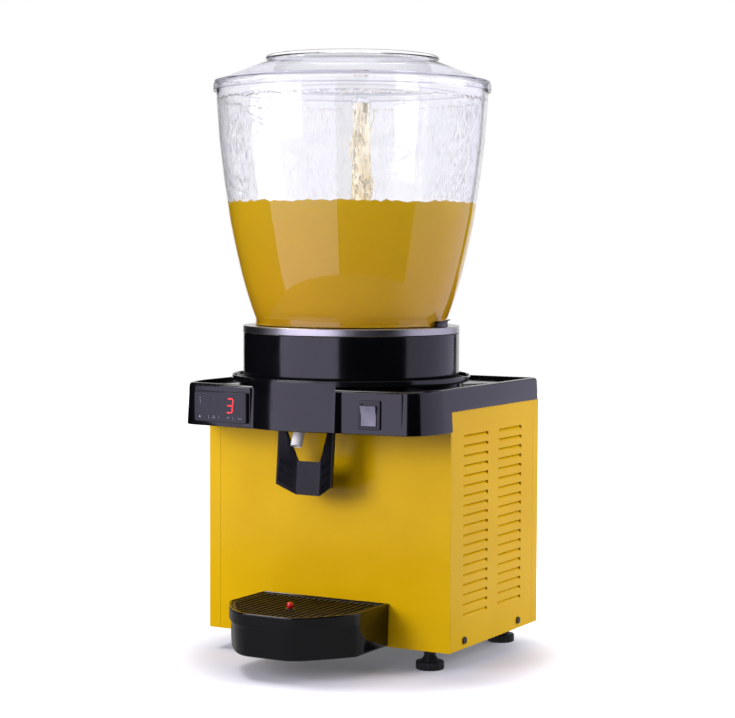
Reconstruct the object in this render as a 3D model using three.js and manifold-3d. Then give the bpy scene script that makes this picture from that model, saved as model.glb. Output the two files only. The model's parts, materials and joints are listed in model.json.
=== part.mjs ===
// Counter-top cold drink dispenser with a fountain pump, a refrigerated drum and a push tap.
// Millimetres, +Z up. X = 0 is the centre plane, the ground is Z = 0 and -Y is the front.
// The origin lies on the ground, midway between the front of the drip tray and the back.

import * as THREE from "three";
import { mergeVertices } from "three/addons/utils/BufferGeometryUtils.js";
import Module from "manifold-3d";

const wasm = await Module();
wasm.setup();

// Clearances
const FIT = 0.3; // between pieces that touch
const RUN = 0.08; // radial, between a shaft and its bore
const SLIDE = 0.6; // between pieces that slide past each other
const ROUND = 32; // facets of the large round pieces
const BORE = 16; // facets of shafts and their bores

// Casing
const BODY_W = 320; // outside width of the sheet-metal casing
const BODY_D = 232; // from the front panel's face to the back panel's face
const FOOT_H = 25; // ground to the underside of the casing
const PANEL_H = 270; // height of the side, front and back panels
const SHEET = 1.2; // panel thickness
const RETURN_W = 15; // folded return of the left and the back panel
const CHASSIS_SHEET = 1.5;
const CHASSIS_LIP = 18; // upturned edge of the base tray
const POST_W = 20; // leg of each angle post

// Louvres of the side panels
const LOUVRE_ROWS = 19;
const LOUVRE_PITCH = 11.25;
const LOUVRE_L = 62.5;
const LOUVRE_H = 4.6;
const LOUVRE_DEPTH = 3.6; // how far the pressed flap leans into the casing
const LOUVRE_TOP = 28; // from the panel's top edge to the top row
const LOUVRE_GAP = 27.5; // between the two columns
const LOUVRE_WALL = 0.9;

// Moulded top cover
const COVER_REACH = 75.5; // front face ahead of the front panel, at the centre
const COVER_CORNER_REACH = 66.5; // the same where the rounded corner starts
const COVER_CORNER_X = 138;
const COVER_SIDE_Y = -18; // where the rounded corner meets the flat side
const COVER_DROP = 22.6; // how far the fascia hangs below the panels' top
const COVER_LIP_H = 26; // panels' top to the lip round the cover's top
const COVER_RECESS = 6; // depth of the recessed top inside the lip
const COVER_WALL = 2.6;
const COVER_LIP_W = 6;
const COVER_DRAFT = 1.5;
const PAD_X0 = 57; // inner end of the flat pads on the fascia
const PAD_H = 46; // height of the pads above the fascia's lower edge
const PAD_PROUD = 2;

// Nose of the cover, round the bowl's axis
const NOSE_HALF_W = 53;
const NOSE_R_TOP = 141;
const NOSE_R_BOTTOM = 143.6;
const NOSE_RISE = 7; // above the lip

// Column that carries the bowl
const BOWL_Y = 57; // bowl axis behind the front panel's face
const GUTTER_R = 139;
const GUTTER_SKIRT_R = 131;
const GUTTER_H = 14.2;
const GUTTER_WALL = 1.6;
const COLLAR_R = 126;
const COLLAR_WALL = 3.6;
const COLLAR_TOP = 353; // above the underside of the casing
const BAND_H = 8; // turned-down edge of the steel deck
const DRUM_SHEET = 1.2;
const DECK_SHEET = 1.2;
const DRUM_R = 60;
const DRUM_H = 86; // above the steel deck
const DRUM_FLANGE = 12;
const MOTOR_LIFT = 16; // pump motor's underside above the steel deck
const MOTOR_R = 38;
const MOTOR_H = 48;
const MAGNET_R = 26;
const MAGNET_H = 12;
const SHAFT_R = 3; // of the pump motor and of the fan motor
const IMPELLER_R = 34;
const IMPELLER_H = 12;
const PUMP_SPIGOT_R = 3;
const PUMP_COVER_R = 42;
const PUMP_COVER_H = 20;
const RISER_R = 8;
const RISER_BACK = 22; // riser's axis behind the bowl's axis
const RISER_DROP = 16; // riser's top below the bowl's rim

// Bowl and lid
const BOWL_WALL = 3;
const BOWL_FOOT_R = 113;
const BOWL_RIM_R = 157.9;
const BOWL_H = 276; // foot to rim
const NECK_GAP = 4; // radial, from the drum to the bore of the neck that slips over it
const LID_GAP = 3.1; // radial, from the bowl's rim to the outside of the lid's skirt
const LID_SKIRT_H = 14;
const LID_WALL = 2.2;
const LID_CONE_RISE = 28;
const LID_DISC_R = 100.5;
const LID_DISC_H = 8.5;

// Outlet, hose and tap
const OUTLET_R = 100; // outlet's distance from the bowl's axis
const NIPPLE_R = 4.4;
const NIPPLE_BORE = 3.2;
const NIPPLE_L = 20;
const HOSE_R = 6.5;
const HOSE_BORE = 4.8;
const HOSE_TIP_Y = -66.5;
const HOSE_TIP_Z = 254.6;
const PINCH_Z = 284;
const ANVIL_R = 2.4;
const PIVOT_Y = -33;
const PIVOT_Z = 296;
const PIN_R = 2.5;
const LEVER_LEAN = -5; // degrees about X, lower end forward
const LEVER_HALF_W = 36.5;
const LEVER_FACE_HALF_W = 15.3;
const LEVER_WING = 6; // how far the wings' outer edges come forward
const LEVER_WALL = 2.5;
const LEVER_EDGE = 5.5; // depth of the turned-back edge
const LEVER_DROP = 99.5; // pivot to the lower edge
const LEVER_CHAMFER = 10.5; // rise of the lower edge out to the wings' sides
const WINDOW_DROP = 61.4; // pivot to the window's lower edge

// Drip tray
const TRAY_REACH = 136; // tray's front ahead of the front panel
const TRAY_HALF_W = 83;
const TRAY_TOP = 50; // above the underside of the casing
const TRAY_BAND_H = 15.5;
const TRAY_STEP = 2.6; // finger step below the band, round the front
const TRAY_DRAFT = 1.4;
const TRAY_SIDE_DRAFT = 1;
const TRAY_WALL = 2.5;
const RUNNER_PLATE = 1; // plate that carries the runners, flat on the front panel
const RUNNER_X = 45;
const RUNNER_W = 16;
const RUNNER_L = 70;
const TRAY_FLOOR = 15; // floor's underside above the tray's lower edge
const GRILLE_T = 3;
const GRILLE_PITCH = 8;
const GRILLE_BAR = 2.8;
const GRILLE_RIM = 3.2;
const FLOAT_Y = -79;
const FLOAT_BALL_R = 4.2;
const FLOAT_STEM_R = 2;
const FLOAT_RISE = 8;

// Feet
const FOOT_INSET = 38; // foot's axis from the casing's side
const FOOT_FRONT_Y = 26;
const FOOT_REAR_INSET = 20; // from the casing's back
const FOOT_R = 16.2;
const FOOT_DISC_H = 9.5;
const STUD_R = 4;
const STUD_TOP = 46;
const FOOT_SCALLOPS = 12;

// Controls on the fascia
const THERMO_W = 76;
const THERMO_H = 34.5;
const THERMO_PROUD = 3.4;
const THERMO_BODY = [70.5, 28.5, 50];
const SWITCH_W = 26;
const SWITCH_H = 32;
const SWITCH_PROUD = 2.6;
const SWITCH_BODY = [22, 27.6, 18];
const ROCKER_HALF_H = 10.8;
const ROCKER_W = 17.5;
const ROCKER_TILT = 9;

// Fan, condenser and compressor
const FAN_Z = 142;
const FAN_BLADES = 5;
const CONDENSER_D = 34;
const CONDENSER_MARGIN = 41; // from the condenser's ends to the casing's front and back
const CONDENSER_H = 200;
const CONDENSER_FINS = 11;
const COMPRESSOR_SIDE = 24; // from the casing's left side to the pot
const COMPRESSOR_REAR = 52; // from the casing's back to the pot
const COMPRESSOR_R = 52;
const COMPRESSOR_H = 118;
const DRIER_R = 10;
const DRIER_X = -20;
const DRIER_BOTTOM = 35; // above the underside of the casing
const DRIER_L = 110;
const DUCT_L = 20;
const PIPE_R = 3;
const SUCTION_R = 3.2;
const GLAND_R = 8;
const GLAND_X = -110;
const GLAND_RISE = 40;
const GLAND_PROUD = 8;

// Panel screws
const SCREW_R = 2;
const SCREW_RISE = 9.5; // above the underside of the casing
const SCREW_FRONT_Y = 36;
const SCREW_REAR_INSET = 54; // from the casing's back

// Levels and places that follow from the sizes above
const SCREW_Z = FOOT_H + SCREW_RISE;
const HALF_W = BODY_W / 2;
const FOOT_X = HALF_W - FOOT_INSET;
const FOOT_REAR_Y = BODY_D - FOOT_REAR_INSET;
const SCREW_REAR_Y = BODY_D - SCREW_REAR_INSET;
const FAN_Y = BODY_D / 2;
const CONDENSER_W = BODY_D - 2 * CONDENSER_MARGIN;
const FAN_R = CONDENSER_W / 2 + 1;
const COMPRESSOR_X = COMPRESSOR_SIDE + COMPRESSOR_R - HALF_W;
const COMPRESSOR_Y = BODY_D - COMPRESSOR_REAR - COMPRESSOR_R;
const BASE_Z = FOOT_H;
const PANEL_TOP = BASE_Z + PANEL_H;
const COVER_BOTTOM = PANEL_TOP - COVER_DROP + FIT;
const LIP_TOP = PANEL_TOP + COVER_LIP_H;
const DECK_Z = LIP_TOP - COVER_RECESS;
const GUTTER_BASE = DECK_Z + FIT;
const GUTTER_TOP = GUTTER_BASE + GUTTER_H;
const NOSE_TOP = LIP_TOP + NOSE_RISE;
const COLLAR_TOP_Z = BASE_Z + COLLAR_TOP;
const STEEL_TOP = COLLAR_TOP_Z + FIT + BAND_H;
const DRUM_TOP = STEEL_TOP + DRUM_H;
const BOWL_Z = STEEL_TOP + SLIDE;
const BOWL_TOP = BOWL_Z + BOWL_H;
const NECK_R = DRUM_R + NECK_GAP;
const LID_R = BOWL_RIM_R + LID_GAP;
const MOTOR_Z = STEEL_TOP + MOTOR_LIFT;
const RISER_TOP = BOWL_TOP - RISER_DROP;
const GLAND_Z = BASE_Z + GLAND_RISE;
const INNER_X = HALF_W - SHEET - FIT;
const INNER_Y0 = SHEET + FIT;
const INNER_Y1 = BODY_D - SHEET - FIT;
const CHASSIS_TOP = PANEL_TOP - 4;
const TRAY_TOP_Z = BASE_Z + TRAY_TOP;
const TRAY_BACK = FIT + RUNNER_PLATE + SLIDE;
const OUTLET_Y = BOWL_Y - OUTLET_R;
const FRONT_Y = (TRAY_REACH - BODY_D - GLAND_PROUD) / 2;

// Solids

function solidOf(geometry) {
  const bare = geometry.index ? geometry.toNonIndexed() : geometry.clone();
  bare.deleteAttribute("normal");
  bare.deleteAttribute("uv");
  const merged = mergeVertices(bare, 1e-4);
  return new wasm.Manifold(
    new wasm.Mesh({
      numProp: 3,
      vertProperties: merged.attributes.position.array,
      triVerts: new Uint32Array(merged.index.array),
    }),
  );
}

function geometryOf(solid) {
  const mesh = solid.asOriginal().simplify(0.002).getMesh();
  const geometry = new THREE.BufferGeometry();
  geometry.setAttribute("position", new THREE.BufferAttribute(mesh.vertProperties, 3));
  geometry.setIndex(new THREE.BufferAttribute(mesh.triVerts, 1));
  const flat = geometry.toNonIndexed();
  flat.computeVertexNormals();
  return flat;
}

const join = (...solids) => solids.flat().reduce((a, b) => a.add(b));
const cut = (solid, ...tools) => tools.flat().reduce((a, b) => a.subtract(b), solid);
const meet = (a, b) => a.intersect(b);
const vec = (x, y, z) => new THREE.Vector3(x, y, z);
const rad = THREE.MathUtils.degToRad;

function block(x0, x1, y0, y1, z0, z1) {
  const box = new THREE.BoxGeometry(x1 - x0, y1 - y0, z1 - z0);
  box.translate((x0 + x1) / 2, (y0 + y1) / 2, (z0 + z1) / 2);
  return solidOf(box);
}

function rod(r, z0, z1, { x = 0, y = 0, top = r, sides = BORE } = {}) {
  const rodGeometry = new THREE.CylinderGeometry(top, r, z1 - z0, sides);
  rodGeometry.rotateX(Math.PI / 2);
  rodGeometry.translate(x, y, (z0 + z1) / 2);
  return solidOf(rodGeometry);
}

function rodX(r, x0, x1, y, z, sides = BORE) {
  const rodGeometry = new THREE.CylinderGeometry(r, r, x1 - x0, sides);
  rodGeometry.rotateZ(Math.PI / 2);
  rodGeometry.translate((x0 + x1) / 2, y, z);
  return solidOf(rodGeometry);
}

function rodY(r, y0, y1, x, z, sides = BORE) {
  const rodGeometry = new THREE.CylinderGeometry(r, r, y1 - y0, sides);
  rodGeometry.translate(x, (y0 + y1) / 2, z);
  return solidOf(rodGeometry);
}

// A profile of [radius, height] points, closed on itself or on the axis, turned round Z.
function turned(profile, sides = 48, x = 0, y = 0) {
  const points = profile.map(([r, z]) => new THREE.Vector2(r, z));
  if (THREE.ShapeUtils.area(points) < 0) points.reverse();
  if (points[0].x > 0 || points.at(-1).x > 0) points.push(points[0].clone());
  const lathe = new THREE.LatheGeometry(points, sides);
  lathe.rotateX(Math.PI / 2);
  lathe.translate(x, y, 0);
  return solidOf(lathe);
}

// An outline of [x, y] points extruded along Z.
function prism(outline, z0, z1) {
  const shape = new THREE.Shape(outline.map(([x, y]) => new THREE.Vector2(x, y)));
  const slab = new THREE.ExtrudeGeometry(shape, { depth: z1 - z0, bevelEnabled: false });
  slab.translate(0, 0, z0);
  return solidOf(slab);
}

// Outlines with the same number of points, stacked at rising heights and closed by flat caps.
function loft(levels) {
  const count = levels[0].outline.length;
  const corners = [];
  const at = (k, i) => [...levels[k].outline[(i + count) % count], levels[k].z];
  for (let k = 0; k + 1 < levels.length; k++) {
    for (let i = 0; i < count; i++) {
      corners.push(at(k, i), at(k, i + 1), at(k + 1, i + 1));
      corners.push(at(k, i), at(k + 1, i + 1), at(k + 1, i));
    }
  }
  for (const [k, flip] of [[0, true], [levels.length - 1, false]]) {
    const flat = levels[k].outline.map(([x, y]) => new THREE.Vector2(x, y));
    for (const [a, b, c] of THREE.ShapeUtils.triangulateShape(flat, [])) {
      corners.push(at(k, a), flip ? at(k, c) : at(k, b), flip ? at(k, b) : at(k, c));
    }
  }
  const geometry = new THREE.BufferGeometry();
  geometry.setAttribute("position", new THREE.Float32BufferAttribute(corners.flat(), 3));
  return solidOf(geometry);
}

// A round bar bent along a smooth line through the given points.
function bentRod(points, r, steps, sides = 10) {
  const shape = new THREE.Shape();
  for (let i = 0; i < sides; i++) {
    const a = (i / sides) * 2 * Math.PI;
    if (i === 0) shape.moveTo(r, 0);
    else shape.lineTo(r * Math.cos(a), r * Math.sin(a));
  }
  shape.closePath();
  const path = new THREE.CatmullRomCurve3(points, false, "centripetal");
  return solidOf(new THREE.ExtrudeGeometry(shape, { steps, extrudePath: path }));
}

// The outline that a half outline, from the front centre round the right to the rear centre, makes.
function mirrored(half) {
  const left = half.filter(([x]) => x > 1e-6).map(([x, y]) => [-x, y]);
  return [...half, ...left.reverse()];
}

function arcPoints(cx, cy, r, from, to, steps) {
  const points = [];
  for (let i = 0; i <= steps; i++) {
    const a = rad(from + ((to - from) * i) / steps);
    points.push([cx + r * Math.cos(a), cy + r * Math.sin(a)]);
  }
  return points;
}

function bezierPoints(a, control, b, steps) {
  const curve = new THREE.QuadraticBezierCurve(
    new THREE.Vector2(...a),
    new THREE.Vector2(...control),
    new THREE.Vector2(...b),
  );
  return curve.getPoints(steps).map((p) => [p.x, p.y]);
}

// A rectangle with round corners, in the plane of its two axes.
function roundedRect(w, h, r, steps = 3) {
  const x = w / 2 - r;
  const y = h / 2 - r;
  return [
    ...arcPoints(x, -y, r, -90, 0, steps),
    ...arcPoints(x, y, r, 0, 90, steps),
    ...arcPoints(-x, y, r, 90, 180, steps),
    ...arcPoints(-x, -y, r, 180, 270, steps),
  ];
}

// A plate with round corners that faces -Y: w along X, h along Z, from y0 to y1.
function facePlate(w, h, r, y0, y1) {
  return prism(roundedRect(w, h, r), 0, y1 - y0).rotate([90, 0, 0]).translate([0, y1, 0]);
}

// Materials

const paint = (color, roughness, metalness, extra = {}) =>
  new THREE.MeshStandardMaterial({ color, roughness, metalness, ...extra });

const FINISH = {
  yellowPaint: () => paint(0xe6ac14, 0.28, 0.1),
  blackGloss: () => paint(0x17171c, 0.16, 0),
  blackMatt: () => paint(0x141416, 0.55, 0),
  blackPaint: () => paint(0x101012, 0.4, 0.4),
  zinc: () => paint(0xb9bcc0, 0.42, 0.85),
  steel: () => paint(0xcfd1d4, 0.24, 1),
  copper: () => paint(0xb66a3c, 0.3, 1),
  aluminium: () => paint(0xc3c6c9, 0.45, 0.9),
  foam: () => paint(0xe8dcae, 0.9, 0),
  clear: () => paint(0xf6f9fb, 0.05, 0, { transparent: true, opacity: 0.28 }),
  smoked: () => paint(0x0a0b0d, 0.08, 0),
  silicone: () => paint(0xe9eaec, 0.45, 0),
  greyRubber: () => paint(0x55575b, 0.8, 0),
  blackRubber: () => paint(0x161617, 0.75, 0),
  red: () => paint(0xc8141e, 0.3, 0),
  grey: () => paint(0x8f9297, 0.35, 0),
};

function piece(name, solid, finish) {
  const mesh = new THREE.Mesh(geometryOf(solid), FINISH[finish]());
  mesh.name = name;
  return mesh;
}

// Casing

function chassisFrame() {
  const x = INNER_X;
  const floor = BASE_Z + CHASSIS_SHEET;
  let tray = cut(
    block(-x, x, INNER_Y0, INNER_Y1, BASE_Z, BASE_Z + CHASSIS_LIP),
    block(
      -x + CHASSIS_SHEET,
      x - CHASSIS_SHEET,
      INNER_Y0 + CHASSIS_SHEET,
      INNER_Y1 - CHASSIS_SHEET,
      floor,
      BASE_Z + CHASSIS_LIP + 1,
    ),
  );
  for (const side of [-1, 1]) {
    for (const [y, dir] of [[INNER_Y0, 1], [INNER_Y1, -1]]) {
      tray = join(tray, anglePost(side * x, y, -side, dir));
    }
    for (const y of [FOOT_FRONT_Y, FOOT_REAR_Y]) {
      tray = join(tray, rod(8, BASE_Z, floor + 8, { x: side * FOOT_X, y, sides: 6 }));
      tray = cut(tray, rod(STUD_R + SLIDE, 0, floor + 20, { x: side * FOOT_X, y, sides: 16 }));
    }
  }
  return cut(tray, screwHoles(SCREW_R + FIT));
}

function anglePost(x, y, dx, dy) {
  const span = (a, b) => [Math.min(a, b), Math.max(a, b)];
  const z = [BASE_Z, CHASSIS_TOP - FIT];
  const legX = block(...span(x, x + dx * POST_W), ...span(y, y + dy * CHASSIS_SHEET), ...z);
  const legY = block(...span(x, x + dx * CHASSIS_SHEET), ...span(y, y + dy * POST_W), ...z);
  return join(legX, legY);
}

function deckPlate() {
  const plate = block(
    -INNER_X,
    INNER_X,
    INNER_Y0,
    INNER_Y1,
    CHASSIS_TOP,
    CHASSIS_TOP + CHASSIS_SHEET,
  );
  const pipeHole = rod(9, 0, PANEL_TOP, { x: DRUM_R - 8, y: BOWL_Y, sides: 20 });
  const returnHole = rod(9, 0, PANEL_TOP, { x: 8 - DRUM_R, y: BOWL_Y, sides: 20 });
  return cut(plate, pipeHole, returnHole);
}

function frontPanel() {
  const left = -HALF_W + RETURN_W + FIT;
  const plate = block(left, HALF_W, 0, SHEET, BASE_Z, PANEL_TOP);
  return plate;
}

// A louvre is a hood pressed into the casing: flush along its lower edge, open along its upper
// edge. The hood's outside is joined to the wall, then its inside is cut away.
function louvreWedge(low, tip, length, y) {
  const wedge = prism([low, tip, [low[0], tip[1]]], -length / 2, length / 2);
  return wedge.rotate([90, 0, 0]).translate([0, y, 0]);
}

const louvreHood = (y, z) =>
  louvreWedge(
    [SHEET / 2, z - LOUVRE_H - LOUVRE_WALL],
    [SHEET + LOUVRE_DEPTH, z],
    LOUVRE_L + 2 * LOUVRE_WALL,
    y,
  );

const louvrePocket = (y, z) =>
  louvreWedge([-1, z - LOUVRE_H - 1], [SHEET + LOUVRE_DEPTH - LOUVRE_WALL, z], LOUVRE_L, y);

// A side wall seen from inside: x = 0 is its outer face and +x points into the casing.
function louvredWall(y0, y1) {
  let wall = block(0, SHEET, y0, y1, BASE_Z, PANEL_TOP);
  const centre = (BODY_D - RETURN_W) / 2;
  const hoods = [];
  const pockets = [];
  for (const column of [-1, 1]) {
    const y = centre + (column * (LOUVRE_L + LOUVRE_GAP)) / 2;
    for (let row = 0; row < LOUVRE_ROWS; row++) {
      const z = PANEL_TOP - LOUVRE_TOP - row * LOUVRE_PITCH;
      hoods.push(louvreHood(y, z));
      pockets.push(louvrePocket(y, z));
    }
  }
  wall = cut(join(wall, ...hoods), pockets);
  return wall;
}

// The four holes low on the sides, through the panels and the chassis.
function screwHoles(r) {
  const holes = [];
  for (const y of [SCREW_FRONT_Y, SCREW_REAR_Y]) {
    for (const side of [-1, 1]) {
      const hole = rodX(r, HALF_W - 8, HALF_W + 1, y, SCREW_Z, 12);
      holes.push(side > 0 ? hole : hole.mirror([1, 0, 0]));
    }
  }
  return holes;
}

function rightSidePanel() {
  const wall = louvredWall(SHEET + FIT, BODY_D - RETURN_W - FIT);
  return cut(wall.mirror([1, 0, 0]).translate([HALF_W, 0, 0]), screwHoles(SCREW_R + FIT));
}

function leftSidePanel() {
  const wall = louvredWall(0, BODY_D).translate([-HALF_W, 0, 0]);
  const fold = block(-HALF_W, -HALF_W + RETURN_W, 0, SHEET, BASE_Z, PANEL_TOP);
  return cut(join(wall, fold), screwHoles(SCREW_R + FIT));
}

function backPanel() {
  const y = BODY_D - SHEET;
  const plate = block(-HALF_W + SHEET + FIT, HALF_W, y, BODY_D, BASE_Z, PANEL_TOP);
  const flange = block(HALF_W - SHEET, HALF_W, BODY_D - RETURN_W, BODY_D, BASE_Z, PANEL_TOP);
  const slots = [];
  for (let row = 0; row < 8; row++) {
    const z = BASE_Z + 150 + row * 12;
    for (const x of [-60, 60]) slots.push(block(x - 45, x + 45, y - 1, BODY_D + 1, z, z + 4));
  }
  return cut(join(plate, flange), slots, rodY(GLAND_R + FIT, y - 1, BODY_D + 1, GLAND_X, GLAND_Z, 12));
}

// Cable gland: a threaded body through the back panel, a nut inside and a round cap outside.
function cableGland() {
  const inner = BODY_D - SHEET - FIT;
  const body = rodY(GLAND_R, inner - 12, BODY_D + 1, GLAND_X, GLAND_Z, 12);
  const nut = rodY(12, inner - 6, inner, GLAND_X, GLAND_Z, 6);
  const cap = rodY(11, BODY_D + FIT, BODY_D + GLAND_PROUD, GLAND_X, GLAND_Z, 12);
  const bore = rodY(3.6, inner - 20, BODY_D + 20, GLAND_X, GLAND_Z, 12);
  return cut(join(body, nut, cap), bore);
}

function panelScrew(side, y) {
  const shank = rodX(SCREW_R, HALF_W - 6, HALF_W + FIT + 0.5, y, SCREW_Z, 8);
  const head = rodX(4.2, HALF_W + FIT, HALF_W + FIT + 1.6, y, SCREW_Z, 12);
  const slot = block(HALF_W + FIT + 0.9, HALF_W + 3, y - 0.5, y + 0.5, SCREW_Z - 3, SCREW_Z + 3);
  const screw = cut(join(shank, head), slot);
  return side > 0 ? screw : screw.mirror([1, 0, 0]);
}

// Top cover

// Half outline of the cover, drawn in by inset.
function coverOutline(inset) {
  const front = -COVER_REACH + inset;
  const corner = -COVER_CORNER_REACH + inset;
  const side = HALF_W - inset;
  const back = BODY_D - inset;
  const rearR = Math.max(6 - inset, 1);
  return mirrored([
    [0, front],
    [PAD_X0, front + 0.6],
    ...bezierPoints(
      [COVER_CORNER_X, corner],
      [HALF_W - 4 - inset, corner + 4],
      [side, COVER_SIDE_Y],
      7,
    ),
    ...arcPoints(side - rearR, back - rearR, rearR, 0, 90, 3),
    [0, back],
  ]);
}

// The pads' faces turn a little outward, from the nose to the rounded corner.
const PAD_X1 = COVER_CORNER_X;
const PAD_MID_X = (PAD_X0 + PAD_X1) / 2;
const PAD_MID_Y = -(COVER_REACH + COVER_CORNER_REACH) / 2 - PAD_PROUD;
const PAD_ANGLE = THREE.MathUtils.radToDeg(
  Math.atan2(COVER_REACH - COVER_CORNER_REACH, PAD_X1 - PAD_X0),
);
const PAD_MID_Z = COVER_BOTTOM + PAD_H / 2 - 1.5;

// Moves a solid made round the origin, facing -Y, onto the face of one pad.
function onPad(solid, side) {
  return solid.rotate([0, 0, side * PAD_ANGLE]).translate([side * PAD_MID_X, PAD_MID_Y, PAD_MID_Z]);
}

function pad(side) {
  const length = Math.hypot(PAD_X1 - PAD_X0, COVER_REACH - COVER_CORNER_REACH);
  const slab = facePlate(length, PAD_H + 8, 4, 0, PAD_PROUD + COVER_WALL);
  const lowered = onPad(slab, side).translate([0, 0, -4 + 1.5]);
  return cut(lowered, block(-HALF_W - 9, HALF_W + 9, -BODY_D, 0, 0, COVER_BOTTOM));
}

function noseCone(shrink, z0, z1, halfW) {
  const cone = rod(NOSE_R_BOTTOM - shrink, z0, z1, {
    y: BOWL_Y,
    top: NOSE_R_TOP - shrink,
    sides: ROUND,
  });
  return meet(cone, block(-halfW, halfW, -BODY_D, -COVER_REACH + 14, z0, z1));
}

function topCover() {
  const shell = loft([
    { outline: coverOutline(-COVER_DRAFT), z: COVER_BOTTOM },
    { outline: coverOutline(0), z: LIP_TOP - 2.5 },
    { outline: coverOutline(2.5), z: LIP_TOP },
  ]);
  const cavity = loft([
    { outline: coverOutline(COVER_WALL), z: COVER_BOTTOM + COVER_WALL },
    { outline: coverOutline(COVER_WALL), z: DECK_Z - COVER_WALL },
  ]);
  const recess = loft([
    { outline: coverOutline(COVER_LIP_W), z: DECK_Z },
    { outline: coverOutline(COVER_LIP_W), z: LIP_TOP + 1 },
  ]);
  const overCasing = block(
    -HALF_W - 9,
    HALF_W + 9,
    -FIT,
    BODY_D + 9,
    COVER_BOTTOM - 1,
    PANEL_TOP + FIT,
  );
  const nose = noseCone(0, COVER_BOTTOM, NOSE_TOP, NOSE_HALF_W);
  const noseHollow = noseCone(
    COVER_WALL,
    COVER_BOTTOM + COVER_WALL,
    DECK_Z - COVER_WALL,
    NOSE_HALF_W - COVER_WALL,
  );
  const gutterSeat = [
    rod(GUTTER_SKIRT_R + FIT, DECK_Z, NOSE_TOP + 9, { y: BOWL_Y, sides: ROUND }),
    rod(GUTTER_R + FIT, LIP_TOP + 0.2, NOSE_TOP + 9, { y: BOWL_Y, sides: ROUND }),
  ];
  const rib = meet(
    cut(
      rod(112, CHASSIS_TOP + CHASSIS_SHEET + FIT, DECK_Z - 1, { y: BOWL_Y, sides: ROUND }),
      rod(109, 0, DECK_Z + 1, { y: BOWL_Y, sides: ROUND }),
    ),
    block(-HALF_W, HALF_W, 6, BODY_D, 0, LIP_TOP),
  );
  let cover = join(shell, pad(-1), pad(1), nose);
  cover = cut(cover, cavity, noseHollow, recess, overCasing, gutterSeat);
  cover = join(cover, rib);
  return cut(
    cover,
    rod(DRUM_R + 2, 0, LIP_TOP, { y: BOWL_Y, sides: ROUND }),
    rod(HOSE_R + 4, DECK_Z - 9, LIP_TOP, { y: hoseY(DECK_Z), sides: 16 }),
    block(-LEVER_HALF_W - 7, LEVER_HALF_W + 7, -74, -14, 0, COVER_BOTTOM + COVER_WALL + 1),
    onPad(thermostatHole(), -1),
    onPad(switchHole(), 1),
  );
}

const thermostatHole = () =>
  block(
    -THERMO_BODY[0] / 2 - FIT,
    THERMO_BODY[0] / 2 + FIT,
    -9,
    12,
    -THERMO_BODY[1] / 2 - FIT,
    THERMO_BODY[1] / 2 + FIT,
  );

const switchHole = () =>
  block(
    -SWITCH_BODY[0] / 2 - FIT,
    SWITCH_BODY[0] / 2 + FIT,
    -9,
    12,
    -SWITCH_BODY[1] / 2 - FIT,
    SWITCH_BODY[1] / 2 + FIT,
  );

// Controls

function thermostatHousing() {
  const bezel = facePlate(THERMO_W, THERMO_H, 4, -THERMO_PROUD, -FIT);
  const recess = facePlate(THERMO_W - 3, THERMO_H - 3, 3, -THERMO_PROUD - 1, -THERMO_PROUD + 1);
  const [w, h, d] = THERMO_BODY;
  const body = block(-w / 2, w / 2, -FIT - 1, d, -h / 2, h / 2);
  const terminals = block(-w / 2 + 8, w / 2 - 8, d - 1, d + 5, -6, 4);
  return onPad(join(cut(bezel, recess), body, terminals), -1);
}

function thermostatWindow() {
  const w = THERMO_W - 3 - 2 * FIT;
  const h = THERMO_H - 3 - 2 * FIT;
  return onPad(facePlate(w, h, 2.7, -THERMO_PROUD, -THERMO_PROUD + 1 - FIT), -1);
}

function switchHousing() {
  const bezel = facePlate(SWITCH_W, SWITCH_H, 1.6, -SWITCH_PROUD, -FIT);
  const [w, h, d] = SWITCH_BODY;
  const body = block(-w / 2, w / 2, -FIT - 1, d, -h / 2, h / 2);
  const pocket = block(
    -ROCKER_W / 2 - SLIDE,
    ROCKER_W / 2 + SLIDE,
    -SWITCH_PROUD - 1,
    d - 3,
    -ROCKER_HALF_H - 1.6,
    ROCKER_HALF_H + 1.6,
  );
  const blades = [-6, 6].map((z) => block(-3.2, 3.2, d - 1, d + 8, z - 0.4, z + 0.4));
  return onPad(join(cut(join(bezel, body), pocket), ...blades), 1);
}

// Rocker: a dished face over a round back, tilted so that its upper end stands out.
function switchRocker() {
  const face = 3.4; // pivot to the dished middle of the face
  const tip = 5.6; // pivot to the ends of the face
  const profile = [
    [-face, 0],
    [-tip, -ROCKER_HALF_H],
    [-tip + 5, -ROCKER_HALF_H],
    ...arcPoints(-1, 0, 9, -80, 80, 8).map(([y, z]) => [y, z]),
    [-tip + 5, ROCKER_HALF_H],
    [-tip, ROCKER_HALF_H],
  ];
  const bar = prism(profile, -ROCKER_W / 2, ROCKER_W / 2).rotate([90, 0, 90]);
  const pin = rodX(1.6, -ROCKER_W / 2 - 0.3, ROCKER_W / 2 + 0.3, 0, 0, 16);
  return onPad(join(bar, pin).rotate([ROCKER_TILT, 0, 0]), 1);
}

// Column

function dripGutter() {
  const base = GUTTER_BASE;
  const floor = base + 8.4;
  return turned(
    [
      [118, base],
      [GUTTER_SKIRT_R, base],
      [GUTTER_SKIRT_R, LIP_TOP + 0.6],
      [GUTTER_R, LIP_TOP + 1.4],
      [GUTTER_R, GUTTER_TOP],
      [GUTTER_R - GUTTER_WALL, GUTTER_TOP],
      [GUTTER_R - GUTTER_WALL - 0.6, floor + 0.6],
      [118, floor],
    ],
    ROUND,
    0,
    BOWL_Y,
  );
}

function bowlCollar() {
  const floor = GUTTER_BASE + 8.4 + 0.6;
  return turned(
    [
      [COLLAR_R - COLLAR_WALL, floor],
      [COLLAR_R, floor],
      [COLLAR_R, COLLAR_TOP_Z],
      [COLLAR_R - COLLAR_WALL, COLLAR_TOP_Z],
    ],
    ROUND,
    0,
    BOWL_Y,
  );
}

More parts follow.
